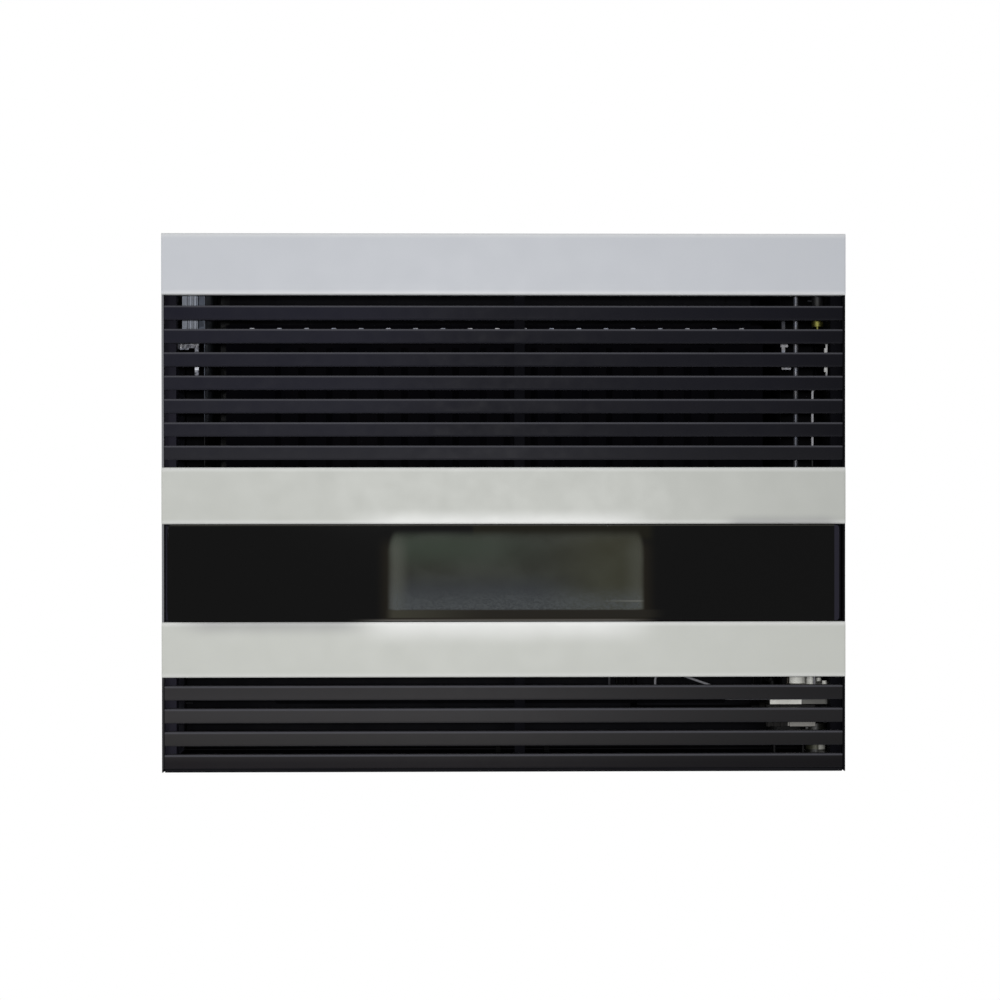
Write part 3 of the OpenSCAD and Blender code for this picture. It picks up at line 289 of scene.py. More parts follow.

# Parts of the valve that the photograph shows darker than its bright bar, with their limits
# These darker tones are painted shade on the casting
CASTING_SHADES = (
    (srgb(12, 12, 13), {"X": (0.2900, 0.3400), "Z": (-0.2270, -0.2000)}),
    (srgb(116, 116, 112), {"X": (0.3518, 0.3920), "Z": (-0.2520, -0.2270)}),
    (srgb(22, 22, 21), {"X": (0.2900, 0.3920), "Z": (-0.2520, -0.2388)}),
    (srgb(30, 29, 28), {"X": (0.2900, 0.3363), "Z": (-0.2750, -0.2530)}),
    (srgb(20, 19, 18), {"X": (0.2900, 0.3140), "Z": (-0.2520, -0.2270)}),
    (srgb(150, 148, 144), {"X": (0.3370, 0.3920), "Z": (-0.2750, -0.2530)}),
    (srgb(14, 14, 14), {"X": (0.2900, 0.3920), "Z": (-0.2790, -0.2647)}),
)

# Places that the finishes pick out, as limits along the axes; most are places of painted light and shade
MIDDLE_BAND = {"Z": (-0.0300, 0.0450)}
CASING_INSIDE = {"X": (-0.3932, 0.3932), "Y": (-0.2325, -0.0020), "Z": (-0.3050, 0.2700)}
LEFT_POST = {"X": (-0.3932, -0.3790), "Y": (-0.2325, -0.1900)}
LEFT_WALL = {"X": (-0.3942, -0.3934), "Y": (-0.2000, -0.0020)}
SHIELD_EDGE = {"X": (-0.3508, -0.3494), "Y": (-0.1950, -0.1900), "Z": (-0.300, 0.189)}
SHIELD_FLANGE_END = {"X": (-0.3575, -0.3500)}
STRAP_SOFT_EDGE = 0.5 * MM
STRAP = {"X": (-0.3760, -0.3500), "Z": (0.1300, 0.2000)}
STRAP_CLIP = {"X": (-0.3620, -0.3560), "Y": (-0.2000, -0.1900), "Z": (0.1553, 0.1690)}
STRAP_FAR_END = {"X": (-0.3900, -0.3786), "Z": (0.1300, 0.2000)}
SPINDLE_FOOT = {"X": (0.3440, 0.3540), "Z": (-0.200, 0.1300)}
SPINDLE_GUIDE = {"X": (0.3200, 0.3445), "Z": (0.1975, 0.2400)}
LEAD_BEHIND_GLASS = {"Z": (-0.030, 0.051)}

# Places that the finishes pick out, as soft steps from the first level to the second; all but the
# ferrule are places of painted light and shade
CASING_HEM = {"X": (-0.3920, -0.3924), "Y": (-0.2330, -0.2345), "Z": (-0.2150, -0.1450)}
CASING_RIGHT_EDGE = {"X": (0.3910, 0.3916), "Y": (-0.2360, -0.2372)}
UPPER_GRILLE = {"Z": (0.070, 0.082)}
SIDE_SCREW = {"X": (-0.3800, -0.3850), "Z": (-0.2400, -0.2450)}
PIPE_AWAY_FROM_VALVE = {"X": (0.3390, 0.3360)}
PAINTED_HIGHLIGHT_CORNER = {"X": (0.3735, 0.3765), "Y": (-0.1600, -0.1615), "Z": (-0.2830, -0.2840)}
FERRULE = {"Z": (0.2216, 0.2210)}

# The light of the window on the bands: how far down and up, and its half width, faint and full
GLOW_DOWN = 0.030
GLOW_UP = 0.020
GLOW_WIDTHS = (0.195, 0.115)
PAINTED_SHADOW_EDGE = 4 * MM

# The rounded upper corners of the clear part of the glass, and the glint across its foot
CORNER_SIDE = 10 * MM
CORNER_POWER = 3.0
CORNER_DIP = 12 * MM
GLINT_LEVEL = -0.1136
GLINT_HEIGHTS = (1.2 * MM, 0.4 * MM)

# Tints of what is seen through the print and through the window
PRINT_TINT = (0.62, 0.66, 0.58, 1)
WINDOW_TINT = (0.86, 0.82, 0.70, 1)
PRINT_CLEARNESS = 0.35


def new_material(name, colour, roughness, metallic=0.0, specular=0.5):
    """A material with one plain shader, ready for its pattern."""
    material = bpy.data.materials.new(name)
    material.use_nodes = True
    shader = shader_of(material)
    shader.inputs["Base Color"].default_value = colour
    shader.inputs["Roughness"].default_value = roughness
    shader.inputs["Metallic"].default_value = metallic
    shader.inputs["Specular IOR Level"].default_value = specular
    return material


def shader_of(material):
    """The one plain shader of a material."""
    return material.node_tree.nodes["Principled BSDF"]


def add(material, kind):
    """A new node of a material or a world."""
    return material.node_tree.nodes.new(kind)


def join(material, source, target):
    """Links an output to an input."""
    material.node_tree.links.new(source, target)


def place(material, stretch=(1, 1, 1)):
    """Object coordinates, stretched where a pattern runs one way."""
    coordinates = add(material, "ShaderNodeTexCoord")
    mapping = add(material, "ShaderNodeMapping")
    mapping.inputs["Scale"].default_value = stretch
    join(material, coordinates.outputs["Object"], mapping.inputs["Vector"])
    return mapping.outputs["Vector"]


def noise(material, scale, stretch=(1, 1, 1), detail=3.0):
    """Noise from 0 to 1, with this many lumps to the metre."""
    texture = add(material, "ShaderNodeTexNoise")
    texture.inputs["Scale"].default_value = scale
    texture.inputs["Detail"].default_value = detail
    join(material, place(material, stretch), texture.inputs["Vector"])
    return texture.outputs[0]


def cells(material, scale):
    """One random value for each cell of a crystal pattern."""
    texture = add(material, "ShaderNodeTexVoronoi")
    texture.inputs["Scale"].default_value = scale
    join(material, place(material), texture.inputs["Vector"])
    grey = add(material, "ShaderNodeRGBToBW")
    join(material, texture.outputs["Color"], grey.inputs["Color"])
    return grey.outputs["Val"]


def colours(material, value, low, high, start=NOISE_LOW, end=NOISE_HIGH):
    """Blends the base colour between two colours along a value."""
    tones(material, value, ((start, low), (end, high)))


def tones(material, value, stops):
    """Runs the base colour through several tones along a value."""
    ramp = add(material, "ShaderNodeValToRGB")
    elements = ramp.color_ramp.elements
    while len(elements) < len(stops):
        elements.new(0.5)
    for element, (position, colour) in zip(elements, stops):
        element.position = position
        element.color = colour
    join(material, value, ramp.inputs["Fac"])
    join(material, ramp.outputs["Color"], shader_of(material).inputs["Base Color"])


def scaled(material, value, low, high, start=0.0, end=1.0, smooth=False):
    """A value carried from the range start to end to the range low to high."""
    convert = add(material, "ShaderNodeMapRange")
    convert.interpolation_type = "SMOOTHSTEP" if smooth else "LINEAR"
    convert.inputs["From Min"].default_value = start
    convert.inputs["From Max"].default_value = end
    convert.inputs["To Min"].default_value = low
    convert.inputs["To Max"].default_value = high
    join(material, value, convert.inputs["Value"])
    return convert.outputs["Result"]


def sheen_range(material, value, low, high):
    """Lets the roughness wander between two values along some noise."""
    roughness = scaled(material, value, low, high, NOISE_LOW, NOISE_HIGH)
    join(material, roughness, shader_of(material).inputs["Roughness"])


def relief(material, value, depth):
    """Raises and lowers the surface by a pattern, as deep as depth."""
    bump = add(material, "ShaderNodeBump")
    bump.inputs["Distance"].default_value = depth
    bump.inputs["Strength"].default_value = 1.0
    join(material, value, bump.inputs["Height"])
    join(material, bump.outputs["Normal"], shader_of(material).inputs["Normal"])


def fade_metal(material, share, metallic):
    """Keeps this much metallic where the share is 0, and none where it is 1."""
    join(material, scaled(material, share, metallic, 0.0), shader_of(material).inputs["Metallic"])


def blend(material, share, colour, amount=1.0):
    """Carries the base colour towards another colour, by a share from 0 to 1 times an amount."""
    if amount != 1.0:
        share = calculate(material, "MULTIPLY", share, amount)
    base = shader_of(material).inputs["Base Color"]
    mix = add(material, "ShaderNodeMix")
    mix.data_type = "RGBA"
    join(material, share, mix.inputs["Factor"])
    if base.is_linked:
        join(material, base.links[0].from_socket, mix.inputs[MIX_FIRST])
    else:
        mix.inputs[MIX_FIRST].default_value = base.default_value
    mix.inputs[MIX_SECOND].default_value = colour
    join(material, mix.outputs[MIX_RESULT], base)


def axis(material, name):
    """One of the object coordinates, in metres."""
    axes = add(material, "ShaderNodeSeparateXYZ")
    join(material, place(material), axes.inputs["Vector"])
    return axes.outputs[name]


def offset_from(material, name, middle):
    """The distance from a level along one axis."""
    return calculate(material, "ABSOLUTE", calculate(material, "SUBTRACT", axis(material, name), middle))


def span(material, value, start, end):
    """0 below start, 1 above end and a soft step between; falls instead if start is above end."""
    if start < end:
        return scaled(material, value, 0.0, 1.0, start, end, smooth=True)
    return scaled(material, value, 1.0, 0.0, end, start, smooth=True)


def product(material, *shares):
    """The product of several shares."""
    total = shares[0]
    for share in shares[1:]:
        total = calculate(material, "MULTIPLY", total, share)
    return total


def within(material, edge, **limits):
    """1 inside the limits given for some of the axes and 0 outside them, with a soft edge."""
    shares = []
    for name, (low, high) in limits.items():
        away = offset_from(material, name, (low + high) / 2)
        half = (high - low) / 2
        shares.append(span(material, away, half + edge, half))
    return product(material, *shares)


def past(material, **steps):
    """The product of soft steps along some axes, each from 0 at its first level to 1 at its second."""
    shares = [span(material, axis(material, name), *step) for name, step in steps.items()]
    return product(material, *shares)


def calculate(material, operation, first, second=None):
    """One sum on one or two values or links."""
    sums = add(material, "ShaderNodeMath")
    sums.operation = operation
    for socket, value in zip(sums.inputs, (first, second)):
        if isinstance(value, (int, float)):
            socket.default_value = value
        elif value is not None:
            join(material, value, socket)
    return sums.outputs["Value"]


# ---------------------------------------------------------------- finishes


def fold_highlight_share(material):
    """How near to a fold a place is, where the finishes paint a highlight; each folded piece carries it
    as an attribute.
    """
    source = add(material, "ShaderNodeAttribute")
    source.attribute_type = "GEOMETRY"
    source.attribute_name = FOLD_HIGHLIGHT_MARK
    return source.outputs["Fac"]


def glow_share(material):
    """Where the light of the window falls on the bands above and below it."""
    below = past(material, Z=(STRIP_LOW - GLOW_DOWN, STRIP_LOW))
    above = past(material, Z=(STRIP_HIGH + GLOW_UP, STRIP_HIGH))
    width = span(material, offset_from(material, "X", 0.0), *GLOW_WIDTHS)
    return product(material, below, above, width)


def painted_shadow_share(material, sign, level, reach, middle, inner, outer):
    """A soft painted shadow along one edge of a band, from the level outwards."""
    outwards = calculate(material, "MULTIPLY", axis(material, "Z"), sign)
    start = sign * level
    near = span(material, outwards, start - PAINTED_SHADOW_EDGE, start)
    far = span(material, outwards, start + reach, start)
    width = span(material, offset_from(material, "X", middle), outer, inner)
    return product(material, near, far, width)


def stove_enamel():
    """Light grey satin enamel with the faint skin of a sprayed coat, and painted light and shade on it:
    a cooler tint towards the top stands for cooler light from above.
    """
    material = new_material("stove_enamel", srgb(198, 200, 196), 0.42)
    # Painted light: a tint of cooler light from above, warmer low down and cooler high up, with a slow
    # drift in its level
    drift = calculate(material, "MULTIPLY", noise(material, 5, detail=1.0), 0.06)
    height = calculate(material, "ADD", axis(material, "Z"), drift)
    colours(material, height, ENAMEL_LOW, ENAMEL_HIGH, start=0.10, end=0.26)
    # Painted shade: the middle band dims towards the right
    middle_band = within(material, 1 * MM, **MIDDLE_BAND)
    rightwards = scaled(material, axis(material, "X"), low=0.20, high=0.42, start=0.10, end=0.38)
    blend(material, product(material, middle_band, rightwards), ENAMEL_DIM)
    # Painted highlight along the folds of the bands
    blend(material, fold_highlight_share(material), ENAMEL_FOLD_HIGHLIGHT, amount=0.6)
    # Painted light of the window on the bands above and below the glass strip
    blend(material, glow_share(material), ENAMEL_GLOW, amount=0.75)
    # Painted soft shadows: on the lower band below the left of the glass strip, and on the middle band
    # above its right
    left = painted_shadow_share(material, -1, STRIP_LOW, reach=0.020, middle=-0.265, inner=0.070, outer=0.125)
    right = painted_shadow_share(material, 1, STRIP_HIGH, reach=0.014, middle=0.322, inner=0.045, outer=0.075)
    blend(material, left, ENAMEL_SHADE, amount=0.55)
    blend(material, right, ENAMEL_SHADE, amount=0.55)
    sheen_range(material, noise(material, 40), 0.38, 0.46)
    relief(material, noise(material, 900, detail=2.0), 0.03 * MM)
    return material


def paint_skin(material, roughness):
    """The fine grain of a sprayed satin paint."""
    sheen_range(material, noise(material, 60), roughness - 0.05, roughness + 0.05)
    relief(material, noise(material, 1100, detail=2.0), 0.02 * MM)


def satin_black(name, colour, worn, roughness, specular=0.12):
    """Satin black coat on sheet, with a slightly greyer drift."""
    material = new_material(name, colour, roughness, specular=specular)
    colours(material, noise(material, 14), colour, worn)
    paint_skin(material, roughness)
    return material


def side_black():
    """Satin black on the casing: a painted highlight greys the hem that faces the light, and painted
    shade dims it inside.
    """
    material = satin_black("trim_paint", srgb(20, 20, 22), srgb(28, 28, 30), 0.5)
    # Painted highlight on the hem that faces the light
    blend(material, past(material, **CASING_HEM), srgb(118, 119, 122))
    # Painted shade on the right edge of the casing
    right_edge = past(material, **CASING_RIGHT_EDGE)
    blend(material, right_edge, srgb(7, 7, 9), amount=0.9)
    # Painted shade inside the casing
    inside = within(material, SOFT_EDGE, **CASING_INSIDE)
    blend(material, inside, srgb(8, 8, 13), amount=0.85)
    # Painted light on the left post and the left wall inside, stronger lower down
    left_post = within(material, SOFT_EDGE, **LEFT_POST)
    downwards = scaled(material, axis(material, "Z"), low=1.0, high=0.45, start=0.10, end=0.24)
    blend(material, product(material, left_post, downwards), srgb(42, 41, 50), amount=0.9)
    left_wall = within(material, SOFT_EDGE, **LEFT_WALL)
    blend(material, product(material, left_wall, past(material, Z=(0.200, 0.150))), srgb(78, 78, 90))
    shaded = calculate(material, "MAXIMUM", inside, right_edge)
    shine = scaled(material, shaded, low=0.12, high=0.01)
    join(material, shine, shader_of(material).inputs["Specular IOR Level"])
    return material


def slat_black():
    """Satin black slats with painted light and shade: bluish and darker above, greyer below, and a
    painted highlight along the folds.
    """
    material = new_material("slat_paint", srgb(24, 24, 30), 0.42, specular=0.05)
    height = scaled(material, axis(material, "Z"), 0.0, 1.0, SLATS_LOW, SLATS_HIGH)
    tones(material, height, SLAT_LIGHT_AND_SHADE)
    blend(material, noise(material, 14), srgb(40, 40, 46), amount=0.12)
    # Painted shade: darker in the middle of the upper grille, towards the right lower down, and at the
    # right end above
    upper = past(material, **UPPER_GRILLE)
    middle = past(material, X=(-0.20, 0.01))
    blend(material, product(material, upper, middle), srgb(5, 5, 9), amount=0.56)
    rightwards = past(material, X=(-0.15, 0.42))
    mostly_lower = scaled(material, upper, low=0.6, high=0.1)
    blend(material, product(material, rightwards, mostly_lower), srgb(6, 6, 8))
    right_end = past(material, X=(0.290, 0.390))
    blend(material, product(material, upper, right_end), srgb(5, 5, 9), amount=0.45)
    # Painted highlight along the folds of the slats
    rim = span(material, fold_highlight_share(material), 0.05, 0.75)
    blend(material, rim, srgb(82, 82, 88), amount=0.85)
    paint_skin(material, 0.42)
    return material


def chamber_enamel():
    """Matt heat-resisting black with a patchy tone, darker than black paint as painted shade."""
    material = new_material("chamber_enamel", srgb(13, 13, 15), 0.7, specular=0.01)
    colours(material, noise(material, 18, detail=5.0), srgb(5, 5, 9), srgb(11, 10, 13))
    relief(material, noise(material, 1400, detail=4.0), 0.05 * MM)
    return material


def galvanised_sheet():
    """Hot-dipped zinc with its grey crystals, painted dark as shade towards the wall and the floor."""
    material = new_material("galvanised_sheet", srgb(120, 124, 132), 0.5, metallic=0.6, specular=0.1)
    crystals = cells(material, 110)
    colours(material, crystals, srgb(106, 111, 122), srgb(138, 142, 150), 0.2, 0.8)
    # Painted shade: the sheet goes dark towards the wall, along the shield's front edge, at the end of
    # its flange and towards the floor
    deep = past(material, Y=(-0.150, -0.100))
    blend(material, deep, srgb(10, 10, 16), amount=0.9)
    blend(material, within(material, SOFT_EDGE, **SHIELD_EDGE), srgb(12, 12, 18), amount=0.7)
    blend(material, within(material, SOFT_EDGE, **SHIELD_FLANGE_END), srgb(56, 60, 68))
    low = past(material, Z=(0.1050, 0.0850))
    rear = past(material, Y=(-0.110, -0.090))
    dark = calculate(material, "MAXIMUM", low, rear)
    blend(material, dark, srgb(8, 8, 11))
    fade_metal(material, dark, 0.6)
    sheen_range(material, crystals, 0.42, 0.6)
    relief(material, noise(material, 500), 0.02 * MM)
    return material


def shade_strap(material):
    """Patchy painted shade on the strap at the left, its bright hanging clip and painted shade on its
    dark far end.
    """
    strap = within(material, STRAP_SOFT_EDGE, **STRAP)
    patchy_shade = scaled(material, noise(material, 520), low=0.2, high=0.9, start=0.4, end=0.6)
    blend(material, product(material, strap, patchy_shade), srgb(40, 40, 46))
    blend(material, within(material, STRAP_SOFT_EDGE, **STRAP_CLIP), srgb(164, 166, 172))
    far_end = within(material, STRAP_SOFT_EDGE, **STRAP_FAR_END)
    blend(material, far_end, srgb(12, 12, 16))
    return far_end


def bright_zinc():
    """Bright passivated zinc with a trace of straw and blue, and painted shade in places."""
    material = new_material("bright_zinc", srgb(116, 118, 126), 0.45, metallic=0.7, specular=0.1)
    colours(material, noise(material, 130), srgb(106, 110, 122), srgb(126, 125, 126))
    # Painted shade on a side screw and at the foot of the spindle
    blend(material, past(material, **SIDE_SCREW), srgb(10, 10, 11), amount=0.9)
    blend(material, within(material, 3 * MM, **SPINDLE_FOOT), srgb(20, 20, 22), amount=0.45)
    strap_end = shade_strap(material)
    # Painted shade on everything low down
    low = past(material, Z=(-0.2740, -0.2780))
    blend(material, low, srgb(9, 9, 10))
    fade_metal(material, calculate(material, "MAXIMUM", low, strap_end), 0.7)
    # Painted shade on the spindle guide
    blend(material, within(material, 0.4 * MM, **SPINDLE_GUIDE), srgb(26, 26, 30), amount=0.85)
    sheen_range(material, noise(material, 300), 0.40, 0.55)
    relief(material, noise(material, 1500), 0.01 * MM)
    return material


def drawn_metal(name, dull, bright, roughness, stretch):
    """Metal with fine marks along the way it was drawn."""
    material = new_material(name, dull, roughness, metallic=1.0)
    marks = noise(material, 900, stretch, detail=4.0)
    colours(material, marks, dull, bright)
    sheen_range(material, marks, roughness - 0.08, roughness + 0.08)
    relief(material, marks, 0.01 * MM)
    return material


def shade_pipe_run(material):
    """Paints a run of pipe dark as shade, away from the valve."""
    away = past(material, **PIPE_AWAY_FROM_VALVE)
    blend(material, away, srgb(9, 9, 10))
    fade_metal(material, away, 1.0)
    shader_of(material).inputs["Specular IOR Level"].default_value = 0.02
    return material


def inlet_brass():
    """Turned brass of the gas inlet, dulled, with a painted highlight on one corner and painted shade
    above and below.
    """
    material = drawn_metal("turned_brass", srgb(58, 60, 48), srgb(72, 72, 58), 0.42, (1, 1, 4))
    # Painted highlight on one corner of the inlet
    blend(material, past(material, **PAINTED_HIGHLIGHT_CORNER), srgb(236, 236, 226))
    # Painted shade above and below
    upper = past(material, Z=(-0.2790, -0.2770))
    lower = past(material, Z=(-0.2930, -0.2942))
    dark = calculate(material, "MAXIMUM", upper, lower)
    blend(material, dark, srgb(12, 12, 10), amount=0.92)
    fade_metal(material, dark, 0.4)
    return material


def heat_tinted_steel():
    """Stainless steel that flames have tinted straw, brown and blue."""
    material = new_material("heat_tinted_steel", srgb(150, 142, 132), 0.4, metallic=1.0)
    colours(material, noise(material, 22, detail=4.0), srgb(112, 112, 128), srgb(176, 156, 128))
    sheen_range(material, noise(material, 240), 0.32, 0.5)
    relief(material, noise(material, 1200), 0.01 * MM)
    return material


def cast_aluminium():
    """Die-cast aluminium, finely grained and a little dull, with parts of the valve painted darker as
    shade.
    """
    material = new_material("cast_aluminium", srgb(230, 230, 224), 0.55, metallic=0.1, specular=0.1)
    grain = noise(material, 1600, detail=5.0)
    colours(material, noise(material, 60), srgb(224, 224, 218), srgb(238, 238, 232))
    for shade, limits in CASTING_SHADES:
        blend(material, within(material, SOFT_EDGE, **limits), shade)
    sheen_range(material, grain, 0.48, 0.62)
    relief(material, grain, 0.04 * MM)
    return material


def moulding(name, dark, light, roughness, grain, specular=0.4):
    """Moulded plastic with a spark-eroded grain."""
    material = new_material(name, dark, roughness, specular=specular)
    colours(material, noise(material, 80), dark, light)
    relief(material, noise(material, grain, detail=3.0), 0.03 * MM)
    return material


def control_plastic():
    """Grained black plastic; the igniter ends in a brass ferrule."""
    material = moulding("grained_black", srgb(20, 20, 22), srgb(27, 27, 29), 0.5, 1600)
    ferrule = past(material, **FERRULE)
    blend(material, ferrule, srgb(120, 118, 62))
    join(material, ferrule, shader_of(material).inputs["Metallic"])
    return material


def foam_tape():
    """Black silicone foam with open cells."""
    material = new_material("foam_tape", srgb(18, 18, 18), 0.9, specular=0.1)
    pores = noise(material, 2200, detail=2.0)
    colours(material, pores, srgb(10, 10, 10), srgb(32, 32, 32))
    relief(material, pores, 0.1 * MM)
    return material


def ceramic_fibre():
    """White fibre rope pressed flat, with its threads."""
    material = new_material("ceramic_fibre", srgb(214, 212, 204), 0.95, specular=0.1)
    threads = noise(material, 700, (1, 1, 4), detail=5.0)
    colours(material, threads, srgb(190, 187, 176), srgb(228, 226, 220))
    relief(material, threads, 0.2 * MM)
    return material


def glazed_ceramic():
    """White ceramic under a thin glaze."""
    material = new_material("glazed_ceramic", srgb(232, 230, 222), 0.2)
    colours(material, noise(material, 300), srgb(224, 221, 210), srgb(238, 237, 231))
    relief(material, noise(material, 700), 0.01 * MM)
    return material


def silicone_sleeve():
    """White silicone on the ignition lead, a little chalky, with painted shade where it runs in the
    dark.
    """
    material = new_material("silicone_sleeve", srgb(240, 240, 240), 0.6, specular=0.3)
    colours(material, noise(material, 160), srgb(236, 236, 236), srgb(246, 246, 245))
    # Painted shade: greyer below the boot, dark under the chamber and behind the glass, and darker at
    # the bottom
    below_boot = past(material, Z=(0.1530, 0.1500))
    blend(material, below_boot, srgb(176, 176, 184), amount=0.8)
    under_chamber = past(material, X=(0.160, 0.150))
    blend(material, under_chamber, srgb(9, 9, 10))
    blend(material, within(material, 2 * MM, **LEAD_BEHIND_GLASS), srgb(9, 9, 10))
    bottom = past(material, Z=(-0.185, -0.195))
    blend(material, bottom, srgb(60, 60, 66), amount=0.6)
    relief(material, noise(material, 1800), 0.02 * MM)
    return material


def see_through(material, clearness, tint):
    """Lets a share of the light straight through, tinted."""
    clear = add(material, "ShaderNodeBsdfTransparent")
    clear.inputs["Color"].default_value = tint
    mix = add(material, "ShaderNodeMixShader")
    join(material, clearness, mix.inputs["Fac"])
    join(material, shader_of(material).outputs["BSDF"], mix.inputs[1])
    join(material, clear.outputs["BSDF"], mix.inputs[2])
    output = material.node_tree.nodes["Material Output"]
    join(material, mix.outputs["Shader"], output.inputs["Surface"])


def glass_ceramic():
    """Clear heat-resisting glass with a faint amber cast and a breath of soot."""
    material = new_material("glass_ceramic", srgb(120, 112, 92), 0.08, specular=0.01)
    soot = noise(material, 24, detail=4.0)
    colours(material, soot, srgb(96, 92, 82), srgb(134, 130, 112))
    clearness = scaled(material, soot, 0.80, 0.92, NOISE_LOW, NOISE_HIGH)
    see_through(material, clearness, WINDOW_TINT)
    return material


def clear_zone(material, sideways):
    """Where the print of the front glass thins out, with its upper corners rounded."""
    left = past(material, X=(CLEAR_LEFT - 0.004, CLEAR_LEFT + 0.010))
    right = past(material, X=(CLEAR_RIGHT + 0.003, CLEAR_RIGHT - 0.007))
    bottom = past(material, Z=(CLEAR_LOW - 0.001, CLEAR_LOW + 0.002))
    corner_start, corner_end = CLEAR_HALF_WIDTH - CORNER_SIDE, CLEAR_HALF_WIDTH + 2 * MM
    corner = scaled(material, sideways, 0.0, 1.0, corner_start, corner_end)
    curve = calculate(material, "POWER", corner, CORNER_POWER)
    dip = calculate(material, "MULTIPLY", curve, CORNER_DIP)
    lowered = calculate(material, "ADD", axis(material, "Z"), dip)
    top = span(material, lowered, CLEAR_HIGH + 0.001, CLEAR_HIGH - 0.017)
    return product(material, left, right, bottom, top)


def window_shares(material):
    """Shares of the front glass: the clear zone, its lighter rim, its foot and a soft halo round it."""
    sideways = offset_from(material, "X", CLEAR_X)
    zone = clear_zone(material, sideways)
    side_rim = product(
        material,
        span(material, sideways, CLEAR_HALF_WIDTH - 0.026, CLEAR_HALF_WIDTH - 0.006),
        past(material, Z=(CLEAR_HIGH + 0.004, CLEAR_HIGH - 0.026)),
    )
    foot = past(material, Z=(CLEAR_LOW + 0.032, CLEAR_LOW + 0.004))
    halo = product(
        material,
        span(material, sideways, CLEAR_HALF_WIDTH + 0.018, CLEAR_HALF_WIDTH - 0.004),
        past(material, Z=(CLEAR_HIGH - 0.004, CLEAR_HIGH - 0.026)),
    )
    return zone, side_rim, foot, halo


def tint_window(material, zone, side_rim, foot):
    """Greenish at the upper left, olive at the right, bluish low down, and lighter at its sides."""
    blend(material, zone, srgb(61, 62, 57))
    lumps = noise(material, 24, (1, 1, 1.5), detail=3.0)
    patches = scaled(material, lumps, low=0.0, high=0.55, start=0.36, end=0.64)
    blend(material, product(material, zone, patches), srgb(80, 83, 78))
    upper_left = past(material, X=(0.09, -0.08), Z=(-0.085, -0.050))
    blend(material, product(material, zone, upper_left), srgb(72, 83, 72), amount=0.6)
    right = past(material, X=(0.03, 0.13))
    blend(material, product(material, zone, right), srgb(74, 73, 56), amount=0.5)
    low_left = past(material, X=(0.12, 0.02), Z=(-0.075, -0.105))
    blend(material, product(material, zone, low_left), srgb(62, 65, 76), amount=0.5)
    rim = product(material, zone, side_rim)
    blend(material, rim, srgb(96, 98, 91), amount=0.42)
    left_rim = past(material, X=(0.00, -0.06))
    blend(material, product(material, rim, left_rim), srgb(104, 106, 99), amount=0.35)
    grain = noise(material, 380, (1, 1, 1.4), detail=1.0)
    mesh = scaled(material, grain, low=0.35, high=0.85, start=0.35, end=0.65)
    blend(material, product(material, zone, foot, mesh), srgb(92, 96, 98))


def tint_print(material):
    """The print round the window, which catches some light: the sill, below, above and the edge."""
    width = span(material, offset_from(material, "X", 0.0), 0.185, 0.120)
    sill = product(material, past(material, Z=(STRIP_LOW + 0.0042, STRIP_LOW + 0.0006)), width)
    blend(material, sill, srgb(104, 102, 98))
    below = product(
        material,
        past(material, X=(CLEAR_LEFT - 0.006, CLEAR_LEFT + 0.006)),
        past(material, X=(CLEAR_RIGHT + 0.030, CLEAR_RIGHT - 0.006)),
        past(material, Z=(CLEAR_LOW + 0.001, CLEAR_LOW - 0.001)),
        past(material, Z=(STRIP_LOW + 0.0042, STRIP_LOW + 0.0052)),
    )
    blend(material, below, srgb(38, 36, 32))
    leftwards = past(material, X=(-0.010, -0.140))
    blend(material, product(material, below, leftwards), srgb(59, 58, 50))
    over = product(
        material,
        past(material, X=(-0.038, -0.034), Z=(CLEAR_HIGH - 0.016, CLEAR_HIGH - 0.006)),
        past(material, X=(CLEAR_RIGHT + 0.016, CLEAR_RIGHT + 0.004)),
    )
    blend(material, over, srgb(29, 28, 22))
    ground_edge = past(material, Z=(STRIP_HIGH - 0.0022, STRIP_HIGH - 0.0016))
    blend(material, ground_edge, srgb(68, 66, 61))


def printed_glass():
    """Glass printed black from behind; a fine print thins out over the flame window."""
    material = new_material("printed_glass", srgb(18, 18, 18), 0.06, specular=0.02)
    zone, side_rim, foot, halo = window_shares(material)
    blend(material, halo, srgb(36, 33, 27), amount=0.9)
    tint_print(material)
    tint_window(material, zone, side_rim, foot)
    glint_height = span(material, offset_from(material, "Z", GLINT_LEVEL), *GLINT_HEIGHTS)
    glint_width = past(material, X=(0.075, 0.156))
    glint = product(material, zone, glint_height, glint_width, glint_width, glint_width)
    blend(material, glint, srgb(116, 117, 112))
    # The print stops short of the right end; the bluish tone of the bare glass there is a painted
    # reflection
    right_margin = past(material, X=(0.3820, 0.3826))
    blend(material, right_margin, srgb(40, 39, 48))
    see_through(material, calculate(material, "MULTIPLY", zone, PRINT_CLEARNESS), PRINT_TINT)
    return material


def scale_print():
    """White printing ink, slightly worn."""
    material = new_material("scale_print", srgb(214, 214, 210), 0.5)
    colours(material, noise(material, 900), srgb(190, 190, 186), srgb(224, 224, 220))
    return material


